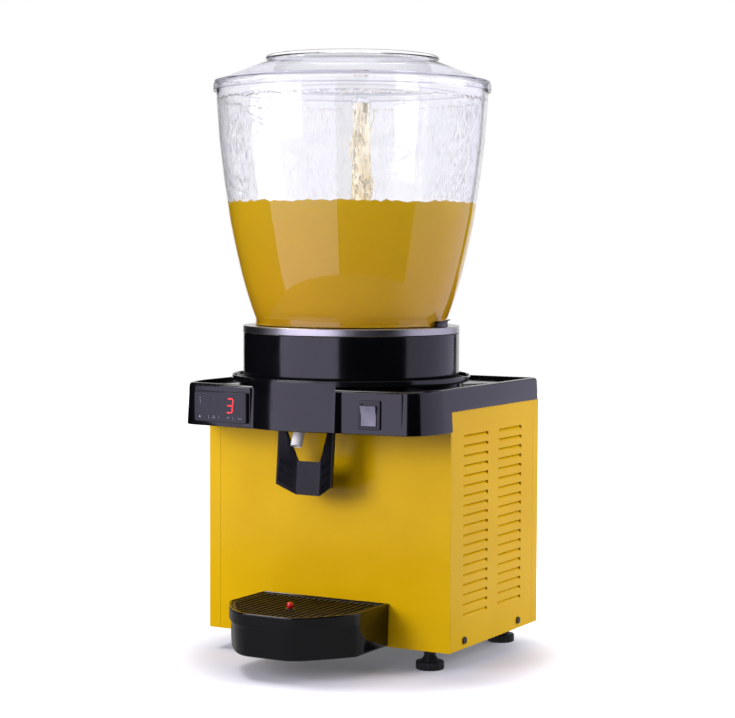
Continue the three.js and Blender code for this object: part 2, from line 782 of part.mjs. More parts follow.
function insulationRing() {
  const r = COLLAR_R - COLLAR_WALL - FIT;
  const z0 = GUTTER_BASE + 8.4 + FIT;
  const z1 = STEEL_TOP - DECK_SHEET - FIT - DRUM_SHEET - FIT;
  const ring = cut(
    rod(r, z0, z1, { y: BOWL_Y, sides: ROUND }),
    rod(DRUM_R + 2, z0 - 1, z1 + 1, { y: BOWL_Y, sides: ROUND }),
  );
  const hoseWay = block(-12, 12, OUTLET_Y - 13, OUTLET_Y + 12, z0 - 1, z1 + 1);
  return cut(ring, hoseWay);
}

function steelDeck() {
  const z = STEEL_TOP;
  const top = turned(
    [
      [DRUM_R + FIT, z - DECK_SHEET],
      [COLLAR_R - DECK_SHEET, z - DECK_SHEET],
      [COLLAR_R - DECK_SHEET, z - BAND_H],
      [COLLAR_R, z - BAND_H],
      [COLLAR_R, z - 1],
      [COLLAR_R - 1, z],
      [DRUM_R + FIT, z],
    ],
    ROUND,
    0,
    BOWL_Y,
  );
  return cut(top, rod(9, z - 9, z + 9, { y: OUTLET_Y, sides: 16 }));
}

function evaporatorDrum() {
  const z = STEEL_TOP - DECK_SHEET - FIT;
  return turned(
    [
      [0, DRUM_TOP],
      [DRUM_R - 4, DRUM_TOP],
      [DRUM_R - 1, DRUM_TOP - 1.4],
      [DRUM_R, DRUM_TOP - 4],
      [DRUM_R, z],
      [DRUM_R + DRUM_FLANGE, z],
      [DRUM_R + DRUM_FLANGE, z - DRUM_SHEET],
      [DRUM_R - DRUM_SHEET, z - DRUM_SHEET],
      [DRUM_R - DRUM_SHEET, DRUM_TOP - 4.4],
      [DRUM_R - 5, DRUM_TOP - DRUM_SHEET],
      [0, DRUM_TOP - DRUM_SHEET],
    ],
    ROUND,
    0,
    BOWL_Y,
  );
}

// Copper winding against the drum's inner wall, with a straight tail down at each end.
function evaporatorCoil() {
  const r = 3.2;
  const mean = DRUM_R - DRUM_SHEET - r - FIT - 0.5;
  const turns = 5;
  const z0 = STEEL_TOP + 8;
  const pitch = 12;
  const points = [vec(mean, 0, COIL_TAIL_Z), vec(mean, 0, COIL_TAIL_Z + 30), vec(mean, 0, z0 - 16)];
  for (let i = 1; i < turns * 12; i++) {
    const a = (i / 12) * 2 * Math.PI;
    points.push(vec(mean * Math.cos(a), mean * Math.sin(a), z0 + (pitch * i) / 12));
  }
  return bentRod(points, r, turns * 12, 5).translate([0, BOWL_Y, 0]);
}

const COIL_TAIL_Z = CHASSIS_TOP + 3;

function drumGasket() {
  const z = STEEL_TOP + FIT;
  return turned(
    [
      [DRUM_R + FIT, z],
      [NECK_R - FIT, z],
      [NECK_R - FIT, z + 9],
      [DRUM_R + FIT, z + 9],
    ],
    ROUND,
    0,
    BOWL_Y,
  );
}

// Locating clip on the steel deck: a block against the foot's edge with a thin finger tip.
function bowlClip(side) {
  const z = STEEL_TOP + FIT;
  const x = BOWL_FOOT_R + SLIDE;
  const body = block(x, x + 8, BOWL_Y - 9, BOWL_Y + 9, z, z + 7);
  const tip = prism(
    [
      [x + 4, z + 4.5],
      [x + 11.5, z + 8],
      [x + 11.5, z + 8.8],
      [x + 4, z + 7],
    ],
    0,
    7,
  )
    .rotate([90, 0, 0])
    .translate([0, BOWL_Y + 9, 0]);
  const clip = join(body, tip);
  return side > 0 ? clip : clip.mirror([1, 0, 0]);
}

// Fountain pump

function pumpBracket() {
  const foot = CHASSIS_TOP + CHASSIS_SHEET + FIT;
  return turned(
    [
      [34, foot],
      [46, foot],
      [46, foot + 2],
      [36, foot + 2],
      [36, MOTOR_Z - FIT],
      [14, MOTOR_Z - FIT],
      [14, MOTOR_Z - FIT - 2],
      [34, MOTOR_Z - FIT - 2],
    ],
    20,
    0,
    BOWL_Y,
  );
}

function pumpMotor() {
  const top = MOTOR_Z + MOTOR_H;
  return turned(
    [
      [0, MOTOR_Z - 12],
      [12, MOTOR_Z - 12],
      [12, MOTOR_Z],
      [MOTOR_R, MOTOR_Z],
      [MOTOR_R, top - 3],
      [MOTOR_R - 3, top],
      [10, top],
      [10, top + 2],
      [SHAFT_R, top + 2],
      [SHAFT_R, top + 2 + MAGNET_H],
      [0, top + 2 + MAGNET_H],
    ],
    18,
    0,
    BOWL_Y,
  );
}

function driveMagnet() {
  const z = MOTOR_Z + MOTOR_H + 2 + FIT;
  const ring = rod(MAGNET_R, z, z + MAGNET_H - 3, { y: BOWL_Y, sides: 16 });
  const bore = rod(SHAFT_R + RUN, z - 1, z + MAGNET_H, { y: BOWL_Y, sides: BORE });
  const gaps = [0, 1, 2, 3].map((i) =>
    block(MAGNET_R - 5, MAGNET_R + 2, -1.2, 1.2, z - 1, z + MAGNET_H)
      .rotate([0, 0, 90 * i])
      .translate([0, BOWL_Y, 0]),
  );
  return cut(ring, bore, gaps);
}

// Impeller: a magnetic base disc with straight vanes, turning on a pin of the pump cover.
function pumpImpeller() {
  const z = DRUM_TOP + SLIDE;
  const disc = rod(IMPELLER_R, z, z + 5, { y: BOWL_Y, sides: 20 });
  const hub = rod(8, z, z + IMPELLER_H, { y: BOWL_Y, sides: 16 });
  const vanes = [];
  for (let i = 0; i < 6; i++) {
    vanes.push(
      block(6, IMPELLER_R - 2, -1, 1, z + 4, z + IMPELLER_H)
        .rotate([0, 0, 60 * i])
        .translate([0, BOWL_Y, 0]),
    );
  }
  const bore = rod(PUMP_SPIGOT_R + RUN, z - 1, z + 20, { y: BOWL_Y, sides: BORE });
  return cut(join(disc, hub, ...vanes), bore);
}

// Volute cover: a cup over the impeller with low inlets and an off-centre outlet for the riser.
function pumpCover() {
  const z = DRUM_TOP + FIT;
  const top = z + PUMP_COVER_H;
  const r = PUMP_COVER_R;
  const cup = turned(
    [
      [0, top],
      [r - 3, top],
      [r, top - 3],
      [r + 3, z],
      [r, z],
      [r - 2.4, top - 2.4],
      [PUMP_SPIGOT_R, top - 2.4],
      [PUMP_SPIGOT_R, z + 0.6],
      [0, z + 0.6],
    ],
    18,
    0,
    BOWL_Y,
  );
  const boss = rod(11, top - 1, top + 12, { y: BOWL_Y + RISER_BACK, sides: 16 });
  const bore = rod(RISER_R - 1.8, z + 15, top + 20, { y: BOWL_Y + RISER_BACK, sides: 16 });
  const socket = rod(RISER_R + FIT, top + 2, top + 20, { y: BOWL_Y + RISER_BACK, sides: 16 });
  const inlets = [0, 1, 2, 3].map((i) =>
    block(r - 8, r + 9, -7, 7, z - 1, z + 6)
      .rotate([0, 0, 90 * i + 45])
      .translate([0, BOWL_Y, 0]),
  );
  return cut(join(cup, boss), bore, socket, inlets);
}

function riserTube() {
  const z = DRUM_TOP + FIT + PUMP_COVER_H + 2 + FIT;
  return cut(
    rod(RISER_R, z, RISER_TOP, { y: BOWL_Y + RISER_BACK, sides: 16 }),
    rod(RISER_R - 1.8, z - 1, RISER_TOP + 1, { y: BOWL_Y + RISER_BACK, sides: 16 }),
  );
}

// Nozzle: a cap over the riser with a ring of slots under a round deflector.
function sprayNozzle() {
  const z = RISER_TOP - 8;
  const y = BOWL_Y + RISER_BACK;
  const cap = rod(11, z, RISER_TOP + 6, { y, sides: 16, top: 9.5 });
  const socket = rod(RISER_R + FIT, z - 1, RISER_TOP + FIT, { y, sides: 16 });
  const slots = [0, 1].map((i) =>
    block(-12, 12, -1.4, 1.4, RISER_TOP + FIT - 1, RISER_TOP + 3.4)
      .rotate([0, 0, 90 * i])
      .translate([0, y, 0]),
  );
  return cut(cap, socket, slots);
}

// Bowl and lid

// Outer profile of the bowl, as shares of the way from the foot's radius to the rim's and of the
// height.
const BOWL_PROFILE = [
  [-0.089, 0.0167],
  [0.051, 0.0598],
  [0.227, 0.145],
  [0.423, 0.27],
  [0.668, 0.471],
  [0.853, 0.688],
  [0.971, 0.906],
].map(([a, b]) => [BOWL_FOOT_R + a * (BOWL_RIM_R - BOWL_FOOT_R), b * BOWL_H]);

function bowl() {
  const z = BOWL_Z;
  const neckTop = z + 12;
  const outer = BOWL_PROFILE.map(([r, h]) => [r, z + h]);
  const inner = BOWL_PROFILE.slice(1)
    .map(([r, h]) => [r - BOWL_WALL, z + h])
    .reverse();
  const shell = turned(
    [
      [NECK_R, z],
      [BOWL_FOOT_R, z],
      [BOWL_FOOT_R, z + 3],
      ...outer,
      [BOWL_RIM_R, BOWL_TOP],
      [BOWL_RIM_R - BOWL_WALL, BOWL_TOP],
      ...inner,
      [BOWL_FOOT_R - 9, z + BOWL_WALL],
      [NECK_R + BOWL_WALL, z + BOWL_WALL],
      [NECK_R + BOWL_WALL, neckTop],
      [NECK_R, neckTop],
    ],
    ROUND,
    0,
    BOWL_Y,
  );
  const nipple = rod(NIPPLE_R, z - NIPPLE_L, z + 1, { y: OUTLET_Y, sides: 20 });
  const bore = rod(NIPPLE_BORE, z - NIPPLE_L - 1, z + 9, { y: OUTLET_Y, sides: 20 });
  return cut(join(shell, nipple), bore);
}

function lid() {
  const z = BOWL_TOP - 7;
  const skirt = z + LID_SKIRT_H;
  const cone = skirt + LID_CONE_RISE;
  const w = LID_WALL;
  const inside = BOWL_RIM_R + SLIDE;
  return turned(
    [
      [0, cone + LID_DISC_H],
      [LID_DISC_R - 3, cone + LID_DISC_H - 2.5],
      [LID_DISC_R, cone + LID_DISC_H - 4.2],
      [LID_DISC_R, cone + 1.4],
      [LID_DISC_R - 2.5, cone],
      [LID_R - 3.7, skirt],
      [LID_R, skirt - 4],
      [LID_R, z],
      [inside, z],
      [inside, BOWL_TOP + FIT],
      [BOWL_RIM_R - 6, BOWL_TOP + FIT],
      [BOWL_RIM_R - 6, skirt - w + 1],
      [LID_DISC_R - 3 - w, cone + 0.2],
      [LID_DISC_R - 3 - w, cone + LID_DISC_H - 2.5 - w],
      [0, cone + LID_DISC_H - w],
    ],
    ROUND,
    0,
    BOWL_Y,
  );
}

// Tap

// The hose's centre line, in the plane X = 0.
const HOSE_LINE = [
  [OUTLET_Y, STEEL_TOP - 10.6],
  [OUTLET_Y, 345],
  [OUTLET_Y - 2.5, 318],
  [OUTLET_Y - 8, 296],
  [OUTLET_Y - 15.5, 275],
  [HOSE_TIP_Y, HOSE_TIP_Z],
];
function hoseY(z) {
  for (let i = 0; i + 1 < HOSE_LINE.length; i++) {
    const [y0, z0] = HOSE_LINE[i];
    const [y1, z1] = HOSE_LINE[i + 1];
    if (z <= z0 && z >= z1) return y0 + ((y1 - y0) * (z0 - z)) / (z0 - z1);
  }
  return OUTLET_Y;
}

// Silicone hose with a bore, flattened to a slit where the pinch bar closes it.
function tapHose() {
  const curve = new THREE.CatmullRomCurve3(HOSE_LINE.map(([y, z]) => vec(0, y, z)));
  const steps = 13;
  const sides = 10;
  const ring = (t, r, squeeze) => {
    const p = curve.getPointAt(t);
    const d = curve.getTangentAt(t);
    const flat = Math.exp(-(((p.z - PINCH_Z) / 7) ** 2));
    const along = r * (1 + 0.3 * flat);
    const across = r * (1 - squeeze * flat);
    const points = [];
    for (let i = 0; i < sides; i++) {
      const a = (i / sides) * 2 * Math.PI;
      const s = across * Math.sin(a);
      points.push([along * Math.cos(a), p.y + s * d.z, p.z - s * d.y]);
    }
    return points;
  };
  const skin = (r, squeeze, flip) => {
    const corners = [];
    for (let k = 0; k < steps; k++) {
      const a = ring(k / steps, r, squeeze);
      const b = ring((k + 1) / steps, r, squeeze);
      for (let i = 0; i < sides; i++) {
        const j = (i + 1) % sides;
        const quad = flip ? [a[i], b[j], a[j], a[i], b[i], b[j]] : [a[i], a[j], b[j], a[i], b[j], b[i]];
        corners.push(...quad);
      }
    }
    return corners;
  };
  const rim = (t, flip) => {
    const o = ring(t, HOSE_R, 0.52);
    const n = ring(t, HOSE_BORE, 0.86);
    const corners = [];
    for (let i = 0; i < sides; i++) {
      const j = (i + 1) % sides;
      const quad = flip ? [o[i], n[j], o[j], o[i], n[i], n[j]] : [o[i], o[j], n[j], o[i], n[j], n[i]];
      corners.push(...quad);
    }
    return corners;
  };
  const corners = [
    ...skin(HOSE_R, 0.52, false),
    ...skin(HOSE_BORE, 0.86, true),
    ...rim(0, true),
    ...rim(1, false),
  ];
  const geometry = new THREE.BufferGeometry();
  geometry.setAttribute("position", new THREE.Float32BufferAttribute(corners.flat(), 3));
  return solidOf(geometry);
}

function outletSeal() {
  const z = STEEL_TOP;
  return turned(
    [
      [NIPPLE_R + FIT, z - 10],
      [8.7, z - 10],
      [11, z - 8],
      [11, z - DECK_SHEET - FIT],
      [8.7, z - DECK_SHEET - FIT],
      [8.7, z + FIT],
      [NIPPLE_R + FIT, z + FIT],
    ],
    16,
    0,
    OUTLET_Y,
  );
}

const CHEEK_X = LEVER_HALF_W + 1.5;
const ANVIL_Y = hoseY(PINCH_Z) - HOSE_R * 0.53 - ANVIL_R - FIT - 0.5;

// Bracket under the cover: two cheeks that hold the pivot pin, a top plate, and a round anvil in
// front of the hose.
function tapBracket() {
  const top = DECK_Z - COVER_WALL - FIT;
  const front = ANVIL_Y - 3;
  const back = PIVOT_Y + 19;
  const cheek = block(CHEEK_X, CHEEK_X + 2, front, back, PINCH_Z - 5, top);
  const plate = block(-CHEEK_X - 2, CHEEK_X + 2, front, back, top - 2, top);
  const anvil = rodX(ANVIL_R, -CHEEK_X - 1, CHEEK_X + 1, ANVIL_Y, PINCH_Z, 16);
  const way = rod(HOSE_R + 2, top - 9, top + 9, { y: hoseY(top), sides: 16 });
  const pinBore = rodX(PIN_R + RUN, -CHEEK_X - 9, CHEEK_X + 9, PIVOT_Y, PIVOT_Z, BORE);
  return cut(join(cheek, cheek.mirror([1, 0, 0]), plate, anvil), way, pinBore);
}

function tapPivotPin() {
  const end = CHEEK_X + 2 + FIT;
  const pin = rodX(PIN_R, -end, end + 1.5, PIVOT_Y, PIVOT_Z, BORE);
  const head = rodX(PIN_R + 1.6, end, end + 1.5, PIVOT_Y, PIVOT_Z, 16);
  const clip = rodX(PIN_R + 1.4, -end - 1, -end, PIVOT_Y, PIVOT_Z, 16);
  return join(pin, head, clip);
}

// Lever, drawn upright round its pivot: a dished face with a window, two arms and a pinch bar.
function tapLever() {
  const w = LEVER_HALF_W;
  const f = LEVER_FACE_HALF_W;
  const t = LEVER_WALL;
  const outer = mirroredX([
    [f, 0],
    [w, -LEVER_WING],
    [w, -LEVER_WING + LEVER_EDGE],
    [w - t, -LEVER_WING + LEVER_EDGE],
    [w - t, -LEVER_WING + t + 0.7],
    [f - 0.6, t],
  ]);
  let lever = prism(outer, -LEVER_DROP, -4);
  const window = prism(
    mirroredX([
      [LEVER_FACE_HALF_W - 1.8, -WINDOW_DROP],
      [29, -9],
    ]),
    -9,
    12,
  ).rotate([90, 0, 0]);
  const chamfers = [-1, 1].map((side) =>
    prism(
      [
        [side * f, -LEVER_DROP],
        [side * (w + 1), -LEVER_DROP + LEVER_CHAMFER + 0.5],
        [side * (w + 1), -LEVER_DROP - 1],
        [side * f, -LEVER_DROP - 1],
      ],
      -30,
      30,
    ).rotate([90, 0, 0]),
  );
  lever = cut(lever, window, ...chamfers);
  const rim = windowRim();
  const barrel = rodX(5.6, -w, w, 0, 0, BORE);
  const neck = block(-w, w, -6, 2.4, -9.5, 0);
  const bar = block(-w + 1, w - 1, -7, 0, PINCH_Z - PIVOT_Z - 3, PINCH_Z - PIVOT_Z + 3);
  const pinch = pinchTongue();
  const tail = block(-7, 7, 3, 16, -3.5, -1);
  lever = join(lever, rim, barrel, neck, bar, pinch, tail);
  lever = cut(lever, rodX(PIN_R + RUN, -w - 1, w + 1, 0, 0, BORE), leverGrooves());
  return lever.rotate([LEVER_LEAN, 0, 0]).translate([0, PIVOT_Y, PIVOT_Z]);
}

// A closed outline from its right half, which runs from front or bottom to top.
function mirroredX(half) {
  return [...half, ...half.map(([x, y]) => [-x, y]).reverse()];
}

// Raised edge behind the window, so the thin face shows a deep border.
function windowRim() {
  const x0 = LEVER_FACE_HALF_W - 1.8;
  const outer = mirroredX([
    [x0 + 2.4, -WINDOW_DROP - 2],
    [31, -9],
  ]);
  const inner = mirroredX([
    [x0, -WINDOW_DROP],
    [29, -8.5],
  ]);
  const ring = cut(prism(outer, -3.5, 3), prism(inner, -9, 9)).rotate([90, 0, 0]);
  return meet(ring, block(-60, 60, -LEVER_WING, 6, -LEVER_DROP, -9));
}

// Wedge that reaches forward to the hose.
function pinchTongue() {
  const reach = PIVOT_Y - hoseY(PINCH_Z) - HOSE_R * 0.48 - 3.2;
  const z = PINCH_Z - PIVOT_Z;
  return prism(
    [
      [-2, z - 3],
      [-reach, z - 2.2],
      [-reach - 0.6, z - 1],
      [-reach, z + 0.2],
      [-2, z + 3],
    ],
    -9,
    9,
  ).rotate([90, 0, 90]);
}

// Three shallow grip grooves on each wing, rising outward with the lower edge.
function leverGrooves() {
  const grooves = [];
  const f = LEVER_FACE_HALF_W;
  const span = LEVER_HALF_W - f;
  const turn = THREE.MathUtils.radToDeg(Math.atan2(LEVER_WING, span));
  const rise = THREE.MathUtils.radToDeg(Math.atan2(LEVER_CHAMFER, span));
  for (const side of [-1, 1]) {
    for (const z of [-78, -86, -94]) {
      grooves.push(
        block(3, span - 4, -2, 0.9, -1, 1)
          .rotate([0, -rise, 0])
          .rotate([0, 0, -turn])
          .translate([f, 0, z + 3])
          .mirror([side > 0 ? 0 : 1, 0, 0]),
      );
    }
  }
  return grooves;
}

// Compression spring between the lever's tail and the bracket's top plate.
function tapSpring() {
  const z0 = PIVOT_Z - 0.75;
  const z1 = DECK_Z - COVER_WALL - FIT - 2 - FIT - 0.7;
  const turns = 4;
  const points = [];
  for (let i = 0; i <= turns * 8; i++) {
    const a = (i / 8) * 2 * Math.PI;
    points.push(vec(4 * Math.cos(a), 4 * Math.sin(a), z0 + ((z1 - z0) * i) / (turns * 8)));
  }
  return bentRod(points, 0.5, turns * 9, 4).translate([0, PIVOT_Y + 11, 0]);
}

// Drip tray

// Outline of the tray, drawn in by inset at the front and by another inset at the sides: straight
// sides, round shoulders, flat front.
function trayOutline(inset, sideInset = inset) {
  const side = TRAY_HALF_W - sideInset;
  const front = -TRAY_REACH + inset;
  return mirrored([
    [0, front],
    [33 - inset * 0.3, front],
    ...bezierPoints(
      [34 - inset * 0.3, front],
      [64 - inset, -112 + inset],
      [side, -74 + inset * 0.4],
      6,
    ),
    [side, -TRAY_BACK],
    [0, -TRAY_BACK],
  ]);
}

function innerTrayOutline(inset, sideInset = inset) {
  return trayOutline(inset, sideInset).map(([x, y]) => [x, Math.min(y, -TRAY_BACK - inset)]);
}

function dripTray() {
  const z0 = BASE_Z + 1;
  const bandZ = TRAY_TOP_Z - TRAY_BAND_H;
  const floor = z0 + TRAY_FLOOR;
  const w = TRAY_WALL;
  const outer = loft([
    { outline: trayOutline(TRAY_STEP + TRAY_DRAFT, TRAY_SIDE_DRAFT), z: z0 },
    { outline: trayOutline(TRAY_STEP, 0), z: bandZ - 1.5 },
    { outline: trayOutline(0), z: bandZ + 1.5 },
    { outline: trayOutline(0), z: TRAY_TOP_Z },
  ]);
  const inset = TRAY_STEP + TRAY_DRAFT + w;
  const sideInset = TRAY_SIDE_DRAFT + w;
  const well = loft([
    { outline: innerTrayOutline(inset, sideInset + 1.5), z: floor + w },
    { outline: innerTrayOutline(TRAY_STEP + w, sideInset + 1.5), z: GRILLE_Z - FIT },
  ]);
  const seat = loft([
    { outline: innerTrayOutline(w), z: GRILLE_Z - FIT },
    { outline: innerTrayOutline(w), z: TRAY_TOP_Z + 1 },
  ]);
  const under = loft([
    { outline: innerTrayOutline(inset, sideInset), z: z0 - 1 },
    { outline: innerTrayOutline(inset, sideInset), z: floor },
  ]);
  const entries = [-1, 1].map((side) =>
    block(-RUNNER_W / 2 - 1.5, RUNNER_W / 2 + 1.5, -14, 9, z0 - 1, floor).translate([
      side * RUNNER_X,
      0,
      0,
    ]),
  );
  return cut(outer, well, seat, under, entries);
}

const GRILLE_Z = TRAY_TOP_Z - 1.2 - GRILLE_T;

// Two runners that the tray slides onto, on a plate behind the tray.
function trayBracket() {
  const top = BASE_Z + 1 + TRAY_FLOOR - FIT;
  const runners = [-1, 1].map((side) =>
    join(
      block(-RUNNER_W / 2, RUNNER_W / 2, -RUNNER_L, -FIT, top - 2, top),
      block(-1, 1, -RUNNER_L + 8, -FIT, top - 9, top),
    ).translate([side * RUNNER_X, 0, 0]),
  );
  const plate = block(-RUNNER_X - 14, RUNNER_X + 14, -FIT - RUNNER_PLATE, -FIT, top - 11, top);
  return join(...runners, plate);
}

// How far forward the tray's outline, drawn in by inset, reaches at a distance x from the middle.
function trayFrontAt(x, inset) {
  const line = trayOutline(inset).filter(([px, py]) => px >= 0 && py < -TRAY_BACK);
  for (let i = 0; i + 1 < line.length; i++) {
    const [x0, y0] = line[i];
    const [x1, y1] = line[i + 1];
    if (x >= x0 && x <= x1 && x1 > x0) return y0 + ((y1 - y0) * (x - x0)) / (x1 - x0);
  }
  return line.at(-1)[1];
}

// Grille: a plate slotted from front to back, with two cross ribs below and a bush for the float.
function dripGrille() {
  const z = GRILLE_Z;
  const inset = TRAY_WALL + SLIDE;
  const plate = loft([
    { outline: innerTrayOutline(inset), z },
    { outline: innerTrayOutline(inset), z: z + GRILLE_T },
  ]);
  const half = (GRILLE_PITCH - GRILLE_BAR) / 2;
  const reach = TRAY_HALF_W - inset - GRILLE_RIM;
  const slots = [];
  for (let x = GRILLE_PITCH / 2; x + half < reach; x += GRILLE_PITCH) {
    const front = trayFrontAt(x + half, inset + GRILLE_RIM);
    const back = -TRAY_BACK - inset - GRILLE_RIM;
    slots.push(block(x - half, x + half, front, back, z - 1, z + GRILLE_T + 1));
    slots.push(block(-x - half, -x + half, front, back, z - 1, z + GRILLE_T + 1));
  }
  const ribs = [-36, -100].map((y) => block(-58, 58, y - 1, y + 1, z - 2, z + 0.2));
  const bush = rod(6, z, z + GRILLE_T, { y: FLOAT_Y, sides: 16 });
  const bore = rod(FLOAT_STEM_R + SLIDE, z - 1, z + 9, { y: FLOAT_Y, sides: 12 });
  return cut(join(cut(plate, slots), ...ribs, bush), bore);
}

// Float: a red ball on a stem through the grille, with a disc below that the water lifts.
function floatIndicator() {
  const z = GRILLE_Z;
  const ballZ = z + GRILLE_T + FIT + FLOAT_BALL_R * 0.86;
  const disc = z - FLOAT_RISE - 2;
  return turned(
    [
      [0, ballZ + FLOAT_BALL_R],
      ...arcPoints(0, ballZ, FLOAT_BALL_R, 67.5, -45, 5),
      [FLOAT_STEM_R, ballZ - FLOAT_BALL_R * 0.86],
      [FLOAT_STEM_R, disc],
      [9, disc],
      [9, disc - 4],
      [0, disc - 4],
    ],
    12,
    0,
    FLOAT_Y,
  );
}

// Feet

function foot(x, y) {
  const outline = [];
  const steps = FOOT_SCALLOPS * 2;
  for (let i = 0; i < steps; i++) {
    const a = (i / steps) * 2 * Math.PI;
    const r = FOOT_R - (i % 2 === 0 ? 1.3 : 0);
    outline.push([r * Math.cos(a), r * Math.sin(a)]);
  }
  const disc = prism(outline, 0, FOOT_DISC_H);
  const neck = turned(
    [
      [0, STUD_TOP],
      [STUD_R, STUD_TOP],
      [STUD_R, FOOT_H - FIT],
      [7, FOOT_H - FIT],
      [6.6, FOOT_DISC_H + 6],
      [11, FOOT_DISC_H - 1],
      [0, FOOT_DISC_H - 1],
    ],
    12,
  );
  return join(disc, neck).translate([x, y, 0]);
}

// Refrigeration

function compressor() {
  const z = BASE_Z + CHASSIS_SHEET + 12;
  const r = COMPRESSOR_R;
  const top = z + COMPRESSOR_H;
  const pot = turned(
    [
      [0, z],
      [r * 0.7, z],
      [r - 4, z + 8],
      [r - 2, z + 50],
      [r + 2, z + 51],
      [r + 2, z + 55],
      [r - 2, z + 56],
      [r - 4, top - 22],
      [r * 0.78, top - 6],
      [r * 0.4, top],
      [0, top],
    ],
    18,
    COMPRESSOR_X,
    COMPRESSOR_Y,
  );
  const feet = block(-62, 62, -44, 44, z - 3, z + 1).translate([COMPRESSOR_X, COMPRESSOR_Y, 0]);
  const box = block(r - 8, r + 16, -22, 22, z + 30, z + 78).translate([
    COMPRESSOR_X,
    COMPRESSOR_Y,
    0,
  ]);
  return join(pot, feet, box);
}

function compressorMount(side) {
  const z = BASE_Z + CHASSIS_SHEET;
  const pad = block(-9, 9, -38, 38, z + FIT, z + 12 - 3 - FIT);
  return pad.translate([COMPRESSOR_X + side * 50, COMPRESSOR_Y, 0]);
}

const CONDENSER_X1 = HALF_W - 12;
const CONDENSER_X0 = CONDENSER_X1 - CONDENSER_D;
const CONDENSER_Z = BASE_Z + CHASSIS_SHEET + FIT;

// Condenser: a comb of upright fins between two end plates, with return bends at its ends.
function condenser() {
  const y0 = FAN_Y - CONDENSER_W / 2;
  const y1 = FAN_Y + CONDENSER_W / 2;
  const coreX = CONDENSER_D / 2 - 8;
  const pitch = (CONDENSER_W - 3) / CONDENSER_FINS;
  const right = [];
  for (let i = 0; i <= CONDENSER_FINS; i++) {
    const y = y0 + i * pitch;
    right.push([coreX, y], [CONDENSER_D / 2, y], [CONDENSER_D / 2, y + 1.5], [coreX, y + 1.5]);
  }
  const left = right.map(([x, y]) => [-x, y]).reverse();
  const midX = (CONDENSER_X0 + CONDENSER_X1) / 2;
  const foot = CONDENSER_Z + 15;
  const comb = prism([...right, ...left], foot, foot + CONDENSER_H).translate([midX, 0, 0]);
  const legs = [y0, y1 - 1.5].map((y) =>
    block(CONDENSER_X0, CONDENSER_X1, y, y + 1.5, CONDENSER_Z, foot + 1),
  );
  const bends = [];
  for (let k = 0; k < 4; k++) {
    const z = foot + 20 + k * 40;
    bends.push(returnBend(k % 2 ? y1 : y0, k % 2 ? 1 : -1, z));
  }
  return join(comb, ...legs, ...bends);
}

function returnBend(y, dir, z) {
  const x = (CONDENSER_X0 + CONDENSER_X1) / 2;
  const rise = 40;
  const points = [
    vec(x, y - dir * 2, z),
    vec(x, y + dir * 4, z),
    vec(x, y + dir * 12, z + rise / 2),
    vec(x, y + dir * 4, z + rise),
    vec(x, y - dir * 2, z + rise),
  ];
  return bentRod(points, PIPE_R, 6, 5);
}

const SHROUD_X = CONDENSER_X0 - 1 - FIT;
const MOTOR_FACE_X = SHROUD_X - DUCT_L - 4;

// Shroud: a plate on the condenser with a round duct and four arms to the fan motor's seat.
function fanShroud() {
  const half = CONDENSER_W / 2;
  const z0 = CONDENSER_Z;
  const z1 = CONDENSER_Z + 15 + CONDENSER_H;
  const plate = block(SHROUD_X - 1.5, SHROUD_X, FAN_Y - half, FAN_Y + half, z0, z1);
  const duct = rodX(FAN_R + 6, SHROUD_X - DUCT_L, SHROUD_X - 1, FAN_Y, FAN_Z, BORE);
  const seat = rodX(34, MOTOR_FACE_X, MOTOR_FACE_X + 4, FAN_Y, FAN_Z, 20);
  const arms = [45, 135, 225, 315].map((a) =>
    block(0, 4.6, 28, FAN_R + 5, -4, 4)
      .rotate([a, 0, 0])
      .translate([MOTOR_FACE_X, FAN_Y, FAN_Z]),
  );
  return cut(
    join(cut(join(plate, duct), rodX(FAN_R + 4, 0, HALF_W, FAN_Y, FAN_Z, BORE)), seat, ...arms),
    rodX(12, 0, HALF_W, FAN_Y, FAN_Z, 16),
  );
}

function fanMotor() {
  const x = MOTOR_FACE_X - FIT;
  return join(
    rodX(27, x - 40, x, FAN_Y, FAN_Z, 16),
    rodX(10, x - 46, x - 39, FAN_Y, FAN_Z, 16),
    rodX(10, x - 1, x + 4, FAN_Y, FAN_Z, 16),
    rodX(SHAFT_R, x, SHROUD_X - 4, FAN_Y, FAN_Z, BORE),
  );
}

// Fan: a hub with pitched blades, drawn round the X axis.
function fanBlade() {
  const x0 = SHROUD_X - DUCT_L + 3;
  const x1 = SHROUD_X - 6;
  const hub = cut(
    rodX(15, x0, x1, 0, 0, BORE),
    rodX(SHAFT_R + RUN, x0 - 1, x1 + 1, 0, 0, BORE),
  );
  const blade = [
    [12, -11],
    [FAN_R - 8, -21],
    [FAN_R - 1, -14],
    [FAN_R, 2],
    [FAN_R - 6, 15],
    [12, 9],
  ];
  const blades = [];
  for (let i = 0; i < FAN_BLADES; i++) {
    blades.push(
      prism(blade, -0.8, 0.8)
        .rotate([28, 0, 0])
        .rotate([0, -90, 0])
        .translate([(x0 + x1) / 2, 0, 0])
        .rotate([(360 * i) / FAN_BLADES, 0, 0]),
    );
  }
  const sweep = cut(
    rodX(FAN_R, x0 - 3, x1 + 3, 0, 0, 30),
    rodX(SHAFT_R + RUN, x0 - 9, x1 + 9, 0, 0, BORE),
  );
  return join(hub, meet(join(...blades), sweep)).translate([0, FAN_Y, FAN_Z]);
}

function filterDrier() {
  const y = INNER_Y1 - DRIER_R;
  const z = BASE_Z + DRIER_BOTTOM;
  const top = z + DRIER_L;
  return turned(
    [
      [0, z],
      [PIPE_R, z],
      [PIPE_R, z + 12],
      [DRIER_R, z + 20],
      [DRIER_R, top - 20],
      [PIPE_R, top - 12],
      [PIPE_R, top],
      [0, top],
    ],
    16,
    DRIER_X,
    y,
  );
}

